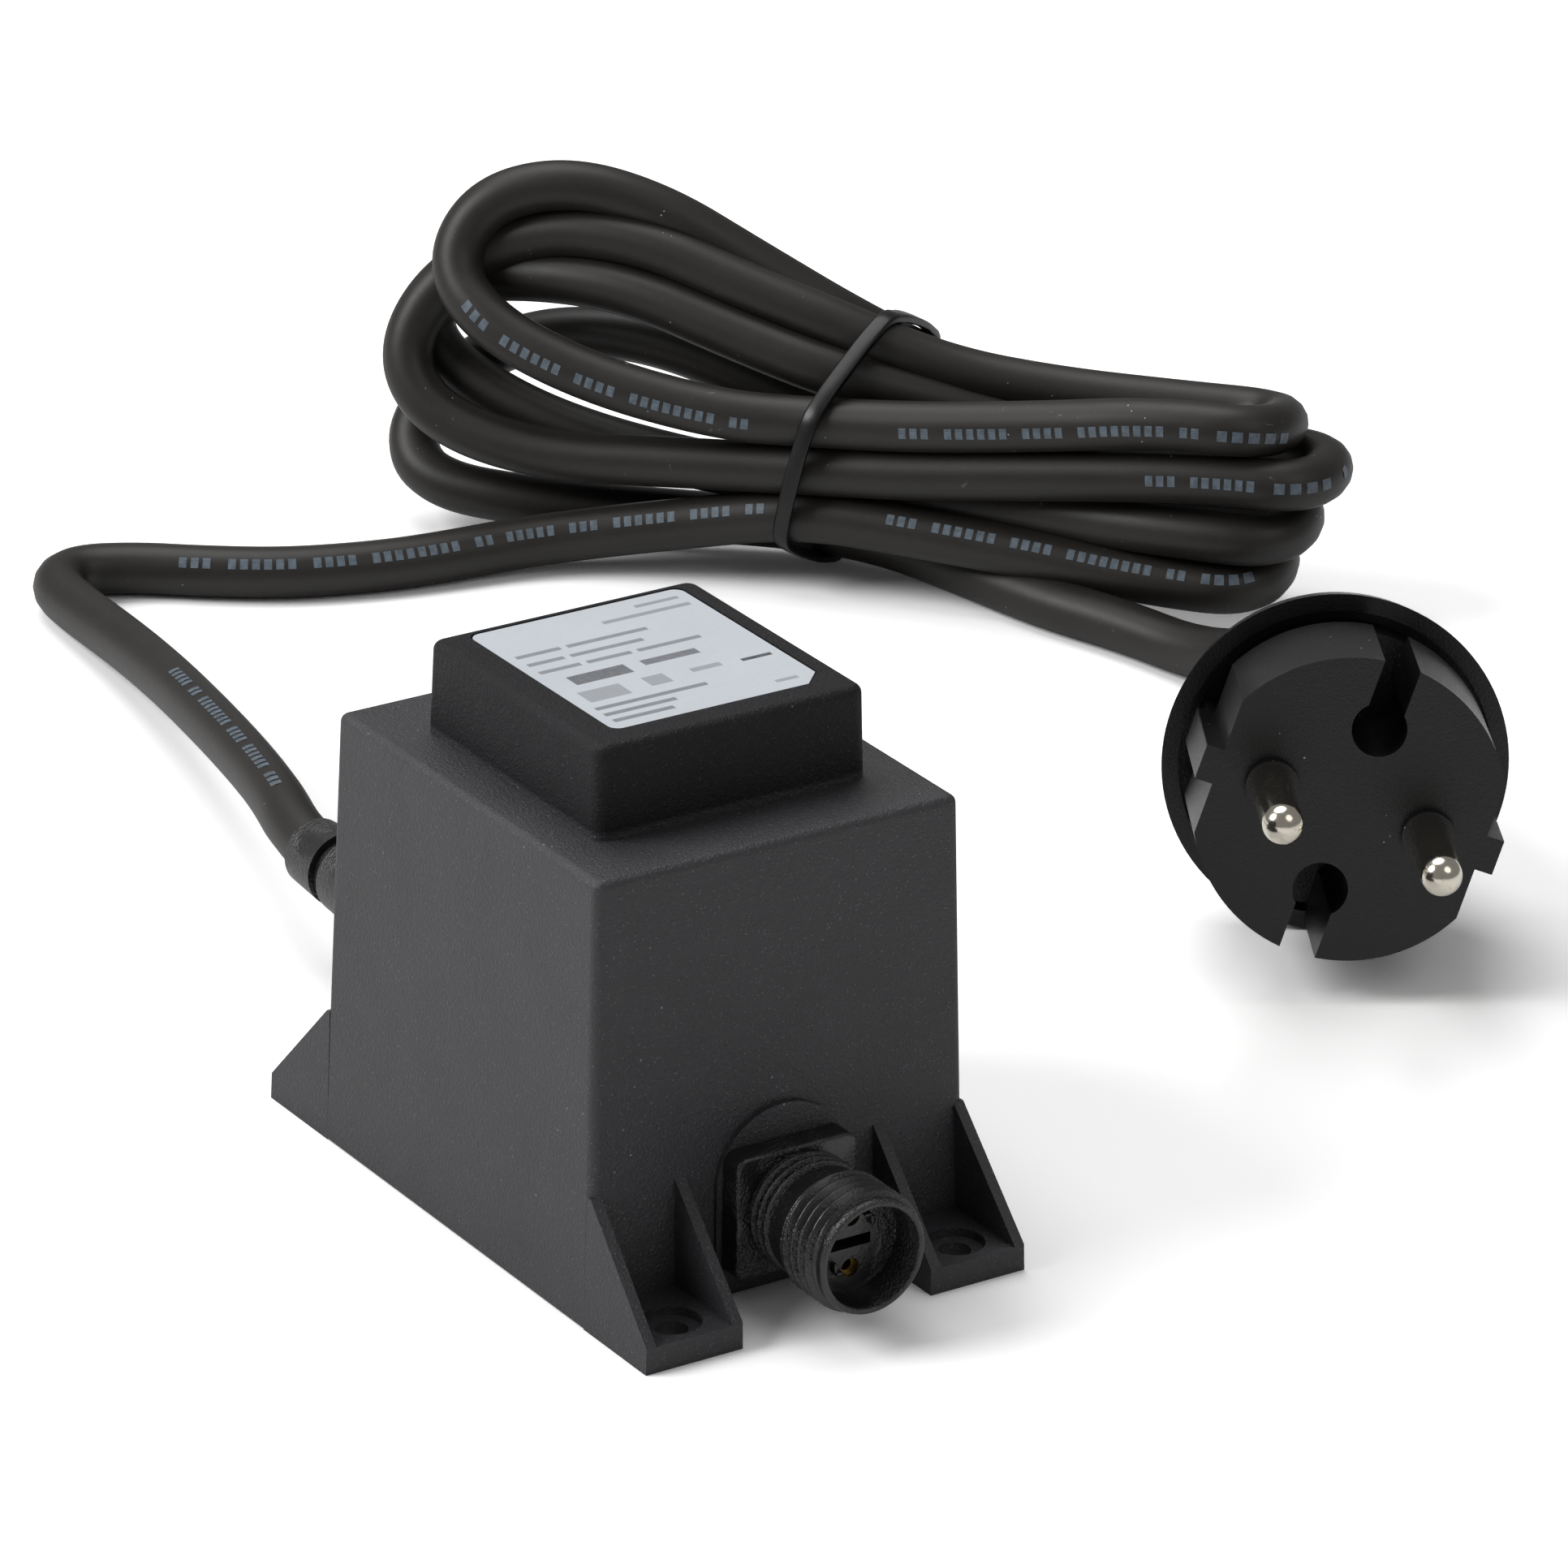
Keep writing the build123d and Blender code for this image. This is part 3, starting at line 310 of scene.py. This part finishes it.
def rounded_ring(half_x, half_z, corner, steps=6):
    """Points (x, z) round a rectangle with rounded corners."""
    points = []
    for index, (side_x, side_z) in enumerate(((1, 1), (-1, 1), (-1, -1), (1, -1))):
        for k in range(steps + 1):
            angle = radians(90) * (index + k / steps)
            points.append((side_x * (half_x - corner) + corner * cos(angle),
                           side_z * (half_z - corner) + corner * sin(angle)))
    return points


def cord_place(route, place):
    """Middle of the cord and its run there, at a place counted in control points."""
    index = min(int(place), len(route) - 3)
    share = place - index
    first = (route[index] + route[index + 1]) / 2
    last = (route[index + 1] + route[index + 2]) / 2
    bend = route[index + 1]
    middle = first * (1 - share) ** 2 + bend * (2 * share * (1 - share)) + last * share ** 2
    return middle, ((bend - first) * (1 - share) + (last - bend) * share) * 2


def print_bar(route, place, facing):
    """Points of one short bar on the cord, in three rows of three."""
    speed = cord_place(route, place)[1].length
    points = []
    for row in range(3):
        middle, run = cord_place(route, place + PRINT_BAR / speed * row / 2)
        heading = run.normalized()
        out = (facing - heading * facing.dot(heading)).normalized()
        side = heading.cross(out)
        for turn in (-PRINT_HALF_TURN, 0.0, PRINT_HALF_TURN):
            points.append(middle + (out * cos(turn) + side * sin(turn)) * (CORD_RADIUS + PRINT_FLOAT))
    return points


def cord_print():
    """Short plain bars in groups along the cord."""
    route = cord_route()
    points = []
    faces = []
    for start, end, rise in PRINT_STRETCHES:
        facing = direction(PRINT_AZIMUTH, radians(rise))
        place = start
        group = 0
        left = PRINT_GROUPS[0]
        while place < end:
            base = len(points)
            points += print_bar(route, place, facing)
            for corner in (0, 1, 3, 4):
                faces.append(tuple(base + corner + ahead for ahead in (0, 1, 4, 3)))
            step = PRINT_BAR + PRINT_GAP
            left -= 1
            if left == 0:
                group += 1
                left = PRINT_GROUPS[group % len(PRINT_GROUPS)]
                step += PRINT_SPACE
            place += step / cord_place(route, place)[1].length
    marks = mesh_piece("cord_print_marks", points, faces)
    dress(marks, "cord_rubber")
    marks.data.materials[0] = cord_ink()


def outlet_point(x, ahead, z):
    """A point of the outlet in the row frame: across, ahead of the end wall and up from its axis."""
    return (x * MM, -(END_WALL_Y + ahead) * MM, (OUTLET_Z + z) * MM)


def thread_radius(ahead, angle):
    """Radius of the outlet's helical thread, run out at both of its ends."""
    phase = (ahead - THREAD_FIRST) / THREAD_PITCH - angle / (2 * pi)
    height = abs(2 * (phase - floor(phase)) - 1)
    crest = min(1.0, max(0.0, (height - THREAD_FLAT) / THREAD_FLANK))
    run_in = max(0.0, (ahead - THREAD_SPAN[0]) / THREAD_RUN_IN)
    run_out = max(0.0, (THREAD_SPAN[1] - ahead) / THREAD_RUN_OUT)
    ends = min(1.0, run_in, run_out)
    return THREAD_ROOT + (THREAD_CREST - THREAD_ROOT) * crest * ends


def neck_outline():
    """Radius and place ahead along the neck with its three ribs."""
    outline = list(NECK_ROOT)
    for start, end_radius in NECK_RIBS:
        outline += [(radius, start + ahead) for radius, ahead in RIB_OUTLINE]
        outline.append((end_radius, start + RIB_LENGTH))
    return outline + NECK_END


def sleeve_skin():
    """Points and faces of the ribbed neck, the threaded sleeve and its open mouth."""
    angles = [2 * pi * k / SLEEVE_STEPS for k in range(SLEEVE_STEPS)]

    def ring(ahead, radii):
        return [outlet_point(radius * cos(a), ahead, radius * sin(a)) for a, radius in zip(angles, radii)]

    rings = [ring(ahead, [radius] * SLEEVE_STEPS) for radius, ahead in neck_outline()]
    rows = ceil((THREAD_SPAN[1] - THREAD_SPAN[0]) / THREAD_ROW)
    for row in range(rows + 1):
        ahead = THREAD_SPAN[0] + (THREAD_SPAN[1] - THREAD_SPAN[0]) * row / rows
        rings.append(ring(ahead, [thread_radius(ahead, a) for a in angles]))
    rings += [ring(ahead, [radius] * SLEEVE_STEPS) for radius, ahead in LIP_OUTLINE]
    return skin(rings)


def plate_skin():
    """Points and faces of the square plate behind the neck, with rounded corners and edges."""
    levels = [(0.0, PLATE_SPAN[0]), (0.0, PLATE_SPAN[1] - PLATE_EDGE)]
    for turn in (30, 60, 90):
        inset = PLATE_EDGE * (1 - cos(radians(turn)))
        levels.append((inset, PLATE_SPAN[1] - PLATE_EDGE * (1 - sin(radians(turn)))))
    rings = []
    for inset, ahead in levels:
        outline = rounded_ring(PLATE_HALF[0] - inset, PLATE_HALF[1] - inset, PLATE_CORNER - inset)
        rings.append([outlet_point(x, ahead, z + PLATE_Z - OUTLET_Z) for x, z in outline])
    points, faces = skin(rings)
    faces.append(tuple(range(len(points) - len(rings[0]), len(points))))
    return points, faces


def outlet_sleeve():
    """The outlet as it shows: plate, ribbed neck and threaded sleeve."""
    points, faces = sleeve_skin()
    plate_points, plate_faces = plate_skin()
    faces += [tuple(len(points) + index for index in face) for face in plate_faces]
    sleeve = mesh_piece("outlet_sleeve", points + plate_points, faces, 50)
    dress(sleeve, "port_plastic")
    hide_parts("outlet_body")


def mouth_keys():
    """Small guide ribs that stand on the insert beside its contacts."""
    points = []
    faces = []
    for x, z, wide, tall in MOUTH_KEYS:
        rings = []
        for inset, height in KEY_LEVELS:
            outline = rounded_ring(wide / 2 - inset, tall / 2 - inset, KEY_CORNER, 2)
            rings.append([outlet_point(x + u, INSERT_FACE + height, z + v) for u, v in outline])
        ring_points, ring_faces = skin(rings)
        size = len(rings[0])
        ring_faces.append(tuple(range(2 * size, 3 * size)))
        faces += [tuple(len(points) + index for index in face) for face in ring_faces]
        points += ring_points
    keys = mesh_piece("outlet_mouth_keys", points, faces)
    dress(keys, "port_plastic")


def strap_hull(reach):
    """Tight line round the outer strands at a distance from their middles, as (across, up)."""
    line = []
    count = len(STRAP_STRANDS)
    for index, (across, up) in enumerate(STRAP_STRANDS):
        before = STRAP_STRANDS[index - 1]
        after = STRAP_STRANDS[(index + 1) % count]
        start = atan2(-(across - before[0]), up - before[1])
        end = atan2(-(after[0] - across), after[1] - up)
        while end < start:
            end += 2 * pi
        for k in range(STRAP_BEND_STEPS + 1):
            angle = start + (end - start) * k / STRAP_BEND_STEPS
            line.append(Vector((across + reach * cos(angle), up + reach * sin(angle))))
    return line


def even_line(line, count):
    """Evenly spaced points along a closed line."""
    closed = line + [line[0]]
    steps = [(b - a).length for a, b in zip(closed, closed[1:])]
    spacing = sum(steps) / count
    points = []
    place = 0.0
    for a, b, step in zip(closed, closed[1:], steps):
        while place < step and len(points) < count:
            points.append(a.lerp(b, place / step))
            place += spacing
        place -= step
    return points


def strap_loop(reach):
    """Springy closed line: it bulges between the strands and touches them where it bends."""
    line = even_line(strap_hull(reach + STRAP_BULGE), STRAP_POINTS)
    for _ in range(STRAP_SMOOTHING):
        following = line[1:] + line[:1]
        line = [(line[k - 1] + line[k] * 2 + following[k]) / 4 for k in range(STRAP_POINTS)]
    held = []
    for point in line:
        for strand in STRAP_STRANDS:
            away = point - Vector(strand)
            if away.length < reach:
                point = Vector(strand) + away.normalized() * reach
        held.append(Vector((point.x, max(point.y, STRAP_THICK / 2 + STRAP_OFF_FLOOR))))
    return held


def cord_strap():
    """Flat strap with rounded edges drawn tight round the tied hank."""
    normal = (HANK_ALONG - HANK_ACROSS * STRAP_LEAN[0] - Vector((0, 0, STRAP_LEAN[1]))).normalized()
    section = rounded_ring(STRAP_WIDTH / 2, STRAP_THICK / 2, STRAP_EDGE, 2)
    line = strap_loop(CORD_RADIUS + STRAP_THICK / 2 + STRAP_GAP)
    rings = []
    for k, point in enumerate(line):
        heading = line[(k + 1) % len(line)] - line[k - 1]
        outward = (HANK_ACROSS * heading.y - Vector((0, 0, heading.x))).normalized()
        along = STRAP_ORIGIN + STRAP_LEAN[0] * point.x + STRAP_LEAN[1] * point.y
        middle = hank_point(along, point.x, point.y)
        rings.append([middle + normal * u + outward * v for u, v in section])
    points, faces = skin(rings, closed=True)
    strap = mesh_piece("hank_strap", points, faces, 60)
    dress(strap, "tie_plastic")
    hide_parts("cord_tie")


class Value:
    """One output of a node, used in Python sums and products."""

    def __init__(self, nodes, socket):
        self.nodes = nodes
        self.socket = socket

    def __add__(self, other):
        return self.nodes.math("ADD", self, other)

    def __radd__(self, other):
        return self.nodes.math("ADD", other, self)

    def __sub__(self, other):
        return self.nodes.math("SUBTRACT", self, other)

    def __rsub__(self, other):
        return self.nodes.math("SUBTRACT", other, self)

    def __mul__(self, other):
        return self.nodes.math("MULTIPLY", self, other)

    def __rmul__(self, other):
        return self.nodes.math("MULTIPLY", other, self)

    def above(self, low, high):
        """0 below low, 1 above high and a smooth step between."""
        return self.nodes.node(
            "ShaderNodeMapRange", {"interpolation_type": "SMOOTHSTEP"},
            {"Value": self, "From Min": low, "From Max": high})

    def below(self, low, high):
        """1 below low, 0 above high."""
        return 1 - self.above(low, high)


class Nodes:
    """The nodes of one material, or of the world."""

    def __init__(self, owner):
        owner.use_nodes = True
        self.tree = owner.node_tree
        self.tree.nodes.clear()

    def node(self, kind, settings, sockets, output=0):
        """A node with its settings, then its sockets' values or links. Gives one output."""
        made = self.tree.nodes.new(kind)
        for name, value in settings.items():
            setattr(made, name, value)
        for name, value in sockets.items():
            if isinstance(value, Value):
                self.tree.links.new(value.socket, made.inputs[name])
            else:
                made.inputs[name].default_value = value
        return Value(self, made.outputs[output]) if made.outputs else None

    def math(self, operation, first, second):
        """Sum, product or other maths on two values or numbers."""
        return self.node("ShaderNodeMath", {"operation": operation}, {0: first, 1: second})


class Finish(Nodes):
    """One material, built from Python expressions."""

    def __init__(self, name):
        self.material = bpy.data.materials.new(name)
        super().__init__(self.material)
        self.place = self.node("ShaderNodeTexCoord", {}, {}, "Object")

    def axis(self, index):
        """One coordinate of the place on the part, in metres."""
        return self.node("ShaderNodeSeparateXYZ", {}, {0: self.place}, index)

    def noise(self, scale, detail=2.0, roughness=0.5, distortion=0.0):
        """Cloudy value from 0 to 1; the scale counts its clouds to a metre."""
        return self.node("ShaderNodeTexNoise", {}, {
            "Vector": self.place, "Scale": scale, "Detail": detail,
            "Roughness": roughness, "Distortion": distortion}, "Fac")

    def cells(self, scale):
        """Distance to the nearest of many scattered points."""
        return self.node("ShaderNodeTexVoronoi", {}, {"Vector": self.place, "Scale": scale}, "Distance")

    def mix(self, share, first, second):
        """Colour between two colours."""
        return self.node("ShaderNodeMix", {"data_type": "RGBA"}, {0: share, 6: first, 7: second}, 2)

    def bump(self, height, distance, strength):
        """Surface direction over small hills and dips."""
        sockets = {"Height": height, "Distance": distance, "Strength": strength}
        return self.node("ShaderNodeBump", {}, sockets)

    def shader(self, **sockets):
        """A plastic or metal shader; a word's underscores stand for spaces."""
        named = {name.replace("_", " "): value for name, value in sockets.items()}
        return self.node("ShaderNodeBsdfPrincipled", {}, named)

    def close(self, shader):
        """Ends the finish with its shader and gives the material."""
        self.node("ShaderNodeOutputMaterial", {}, {"Surface": shader})
        return self.material

    def surface(self, **sockets):
        """Ends the finish with one plastic or metal shader."""
        return self.close(self.shader(**sockets))


def rgb(red, green, blue):
    """Colour from screen values of 0 to 255."""
    return tuple((value / 255) ** 2.2 for value in (red, green, blue)) + (1.0,)


def spark_eroded_plastic():
    """Matt black moulding with a fine eroded grain, and painted light specks that stand for its sparkle."""
    finish = Finish("spark_eroded_plastic")
    grain = finish.noise(4600, 2.0, 0.6)
    coarse = finish.noise(2500, 2.0, 0.6)
    mottle = finish.noise(120, 2.0)
    # Painted glint: scattered light grey specks in the base colour stand in for light catching the grain
    painted_glint = finish.cells(2600).below(0.12, 0.26) * coarse.above(0.48, 0.6)
    dust = finish.cells(380).below(0.035, 0.06) * finish.noise(70).above(0.5, 0.6)
    tone = finish.mix(grain * 0.5 + mottle * 0.5, rgb(35, 35, 38), rgb(58, 58, 61))
    # The painted glint lightens the base colour to light grey in its specks
    tone = finish.mix(painted_glint * 0.45, tone, rgb(149, 150, 151))
    tone = finish.mix(dust * 0.4, tone, rgb(189, 189, 187))
    relief = finish.bump(grain * 0.6 + coarse, 0.00017, 1.0)
    rough = 0.42 + grain * 0.22
    walls = finish.shader(Base_Color=tone, Roughness=rough, Specular_IOR_Level=0.65, Normal=relief)
    deep = finish.mix(0.55, tone, rgb(10, 10, 11))
    raised = finish.shader(Base_Color=deep, Roughness=rough, Specular_IOR_Level=0.22, Normal=relief)
    height = finish.axis(2).above(BLOCK_FOOT_Z - 0.2 * MM, BLOCK_FOOT_Z + 0.6 * MM)
    return finish.close(finish.node("ShaderNodeMixShader", {}, {0: height, 1: walls, 2: raised}))


def port_plastic():
    """Smoother black moulding, gritty in patches, with painted light specks on the gritty patches."""
    finish = Finish("moulded_port_plastic")
    grain = finish.noise(2600, 2.0, 0.65)
    patch = finish.noise(130, 2.0).above(0.4, 0.56)
    wave = finish.noise(300, 2.0)
    # Painted glint: light specks in the base colour on the gritty patches stand in for light caught by the
    # grit
    painted_glint = finish.cells(2400).below(0.1, 0.24) * grain.above(0.5, 0.6) * patch
    tone = finish.mix(grain * 0.6 + wave * 0.4, rgb(15, 15, 16), rgb(33, 33, 34))
    # The painted glint lightens the base colour to light grey in its specks
    tone = finish.mix(painted_glint * 0.5, tone, rgb(141, 141, 136))
    return finish.surface(
        Base_Color=tone, Roughness=0.24 + grain * 0.2, Specular_IOR_Level=0.75,
        Normal=finish.bump(grain * (0.2 + patch * 0.8) + wave * 0.3, 0.0003, 1.0))


def cord_rubber():
    """Dark grey sheath with a soft sheen, faint drawn ripples and a little dust."""
    finish = Finish("cord_sheath")
    film = finish.noise(2200, 2.0, 0.6)
    wave = finish.noise(110, 3.0, 0.6)
    scuff = finish.noise(420, 3.0, 0.7, 1.5).above(0.66, 0.74) * wave.above(0.52, 0.62)
    dust = finish.cells(520).below(0.035, 0.06) * finish.noise(60).above(0.52, 0.62)
    tone = finish.mix(film * 0.35 + wave * 0.65, rgb(29, 28, 25), rgb(47, 44, 42))
    tone = finish.mix(scuff * 0.35, tone, rgb(151, 149, 141))
    tone = finish.mix(dust * 0.6, tone, rgb(232, 230, 221))
    return finish.surface(
        Base_Color=tone, Roughness=0.38 + film * 0.1 + wave * 0.08, Specular_IOR_Level=0.43,
        Normal=finish.bump(film * 0.3 + wave, 0.00007, 0.5))


def cord_ink():
    """Worn grey-blue ink."""
    finish = Finish("cord_ink")
    wear = finish.noise(1300, 2.0)
    tone = finish.mix(wear, rgb(55, 62, 68), rgb(111, 124, 136))
    return finish.surface(Base_Color=tone, Roughness=0.4 + wear * 0.12, Specular_IOR_Level=0.5)


def plug_plastic():
    """Near-black rubbery moulding with a satin sheen."""
    finish = Finish("plug_rubber")
    grain = finish.noise(3400, 2.0, 0.6)
    wave = finish.noise(140, 2.0)
    dust = finish.cells(460).below(0.04, 0.065) * finish.noise(80).above(0.5, 0.6)
    tone = finish.mix(grain * 0.5 + wave * 0.5, rgb(8, 8, 8), rgb(16, 16, 16))
    tone = finish.mix(dust * 0.5, tone, rgb(202, 202, 199))
    return finish.surface(
        Base_Color=tone, Roughness=0.24 + grain * 0.14 + wave * 0.06, Specular_IOR_Level=0.53,
        Normal=finish.bump(grain * 0.5 + wave * 0.5, 0.0001, 0.7))


def bright_nickel():
    """Warm bright plate with faint turning marks."""
    finish = Finish("pin_nickel")
    grain = finish.noise(3000, 2.0)
    wave = finish.noise(260, 2.0)
    tarnish = finish.noise(700, 3.0, 0.6).above(0.55, 0.75)
    tone = finish.mix(wave, rgb(214, 206, 190), rgb(236, 230, 216))
    tone = finish.mix(tarnish * 0.35, tone, rgb(150, 130, 104))
    return finish.surface(
        Base_Color=tone, Metallic=1.0, Roughness=0.1 + grain * 0.12 + tarnish * 0.08,
        Normal=finish.bump(grain, 0.00002, 0.4))


def brass():
    """Yellow metal of the outlet's contacts and the plug's crimps."""
    finish = Finish("contact_brass")
    grain = finish.noise(2000, 2.0)
    tone = finish.mix(grain, rgb(190, 152, 70), rgb(222, 186, 104))
    return finish.surface(Base_Color=tone, Metallic=1.0, Roughness=0.22 + grain * 0.16)


def label_band(place, centre, start, end):
    """1 between two places on the label, 0 outside, with a soft edge."""
    first = centre + start * MM
    last = centre + end * MM
    within = place.above(first - LABEL_BLUR, first + LABEL_BLUR)
    return within * place.below(last - LABEL_BLUR, last + LABEL_BLUR)


def label_film():
    """Pale satin film with plain grey bars."""
    finish = Finish("label_film")
    weave = finish.noise(1600, 2.0)
    wave = finish.noise(90, 2.0)
    tone = finish.mix(weave * 0.4 + wave * 0.6, rgb(185, 190, 196), rgb(201, 206, 212))
    across = finish.axis(0)
    along = finish.axis(1)
    for left, right, low, high, shade in LABEL_BARS:
        inside = label_band(across, LABEL_CENTRE[0], left, right)
        inside = inside * label_band(along, LABEL_CENTRE[1], low, high)
        tone = finish.mix(inside * shade * (0.85 + weave * 0.3), tone, rgb(50, 50, 55))
    return finish.surface(
        Base_Color=tone, Roughness=0.5 + wave * 0.12, Specular_IOR_Level=0.4,
        Normal=finish.bump(wave, 0.00006, 0.4))


def plain_grain(name, dark, light, roughness, scale=1500, metallic=0.0):
    """Finish of an inner piece: two tones, a fine grain and its bump."""
    finish = Finish(name)
    grain = finish.noise(scale, 3.0)
    tone = finish.mix(grain, rgb(*dark), rgb(*light))
    return finish.surface(
        Base_Color=tone, Roughness=roughness + grain * 0.15, Metallic=metallic,
        Normal=finish.bump(grain, 0.00004, 0.5))


def tie_plastic():
    """Glossy black strap."""
    finish = Finish("strap_plastic")
    grain = finish.noise(1400, 2.0)
    tone = finish.mix(grain, rgb(10, 10, 11), rgb(23, 23, 24))
    return finish.surface(
        Base_Color=tone, Roughness=0.26 + grain * 0.12, Specular_IOR_Level=0.4,
        Normal=finish.bump(grain, 0.00003, 0.4))


FINISHES = {
    "housing_plastic": spark_eroded_plastic(),
    "port_plastic": port_plastic(),
    "cord_rubber": cord_rubber(),
    "plug_plastic": plug_plastic(),
    "pin_nickel": bright_nickel(),
    "contact_brass": brass(),
    "label_film": label_film(),
    "tie_plastic": tie_plastic(),
    "potting_resin": plain_grain("potting_resin", (30, 30, 32), (46, 46, 48), 0.35, 400),
    "core_steel": plain_grain("core_steel", (96, 98, 102), (128, 130, 134), 0.4, 2500, 0.9),
    "bobbin_nylon": plain_grain("bobbin_nylon", (196, 192, 180), (212, 208, 198), 0.45),
    "copper_wire": plain_grain("copper_wire", (168, 88, 46), (202, 118, 66), 0.3, 2500, 0.9),
    "winding_tape": plain_grain("winding_tape", (176, 150, 44), (200, 174, 66), 0.35),
    "fuse_case": plain_grain("fuse_case", (178, 178, 176), (198, 198, 196), 0.3),
    "tinned_wire": plain_grain("tinned_wire", (176, 178, 182), (204, 206, 210), 0.25, 2500, 0.9),
    "lead_sleeve": plain_grain("lead_sleeve", (44, 46, 52), (60, 62, 70), 0.5),
}


def dress_nodes():
    """Gives every carried-over node the finish of its slot in the record."""
    for entry in frame["record"]["subparts"]:
        for place in nodes[entry["node"]].material_slots:
            place.material = FINISHES[entry["material_slot"]]


def dress(piece, slot):
    """Puts one of the record's finishes on a new piece that rides on the part."""
    piece.data.materials.clear()
    piece.data.materials.append(FINISHES[slot])
    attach(piece, "root")


def add_camera():
    """The camera of the photograph, solved from the housing's edges."""
    back = direction(CAMERA_AZIMUTH, CAMERA_ELEVATION)
    level = (-back).cross(Vector((0, 0, 1))).normalized()
    upright = level.cross(-back)
    right = level * cos(CAMERA_ROLL) + upright * sin(CAMERA_ROLL)
    up = upright * cos(CAMERA_ROLL) - level * sin(CAMERA_ROLL)
    lens = bpy.data.cameras.new("camera")
    lens.lens = CAMERA_LENS
    lens.sensor_width = CAMERA_SENSOR
    lens.clip_end = CAMERA_REACH
    camera = bpy.data.objects.new("camera", lens)
    turn = Matrix((right, up, back)).transposed().to_4x4()
    camera.matrix_world = Matrix.Translation(CAMERA_AT) @ turn
    bpy.context.scene.collection.objects.link(camera)
    bpy.context.scene.camera = camera


def add_cord():
    """The whole mains cord in one curve, in place of the model's cord, hank and plug lead."""
    cord = smooth_line("mains_cord_full", cord_route(), CORD_RADIUS)
    dress(cord, "cord_rubber")
    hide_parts("mains_cord", "cord_hank", "plug_lead")


def area_lamp(name, at, aim, size, power):
    """A round soft lamp."""
    data = bpy.data.lights.new(name, "AREA")
    data.shape = "DISK"
    data.size = size
    data.energy = power
    lamp = bpy.data.objects.new(name, data)
    lamp.location = at
    lamp.rotation_euler = (Vector(aim) - Vector(at)).to_track_quat("-Z", "Y").to_euler()
    bpy.context.scene.collection.objects.link(lamp)


def add_floor():
    """White floor that keeps the shadows."""
    corners = [(FLOOR_HALF * x, FLOOR_HALF * y, 0) for x, y in ((-1, -1), (1, -1), (1, 1), (-1, 1))]
    mesh = bpy.data.meshes.new("floor")
    mesh.from_pydata(corners, [], [(0, 1, 2, 3)])
    ground = bpy.data.objects.new("floor", mesh)
    bpy.context.scene.collection.objects.link(ground)
    finish = Finish("white_floor")
    seen = finish.node("ShaderNodeLightPath", {}, {}, "Is Camera Ray")
    white = finish.mix(seen, FLOOR_COLOUR, FLOOR_SEEN)
    mesh.materials.append(finish.close(finish.node("ShaderNodeBsdfDiffuse", {}, {"Color": white})))


def add_surround():
    """Surround that the camera sees as white and that lights the part softly."""
    world = bpy.data.worlds.new("surround")
    sky = Nodes(world)
    strength = sky.math("MAXIMUM", sky.node("ShaderNodeLightPath", {}, {}, "Is Camera Ray"), SURROUND)
    light = sky.node("ShaderNodeBackground", {}, {"Color": (1, 1, 1, 1), "Strength": strength})
    sky.node("ShaderNodeOutputWorld", {}, {"Surface": light})
    bpy.context.scene.world = world


dress_nodes()
add_camera()
add_cord()
cord_print()
cord_strap()
outlet_sleeve()
mouth_keys()
add_floor()
add_surround()
for lamp in LAMPS:
    area_lamp(*lamp)
bpy.context.scene.view_settings.view_transform = "Standard"
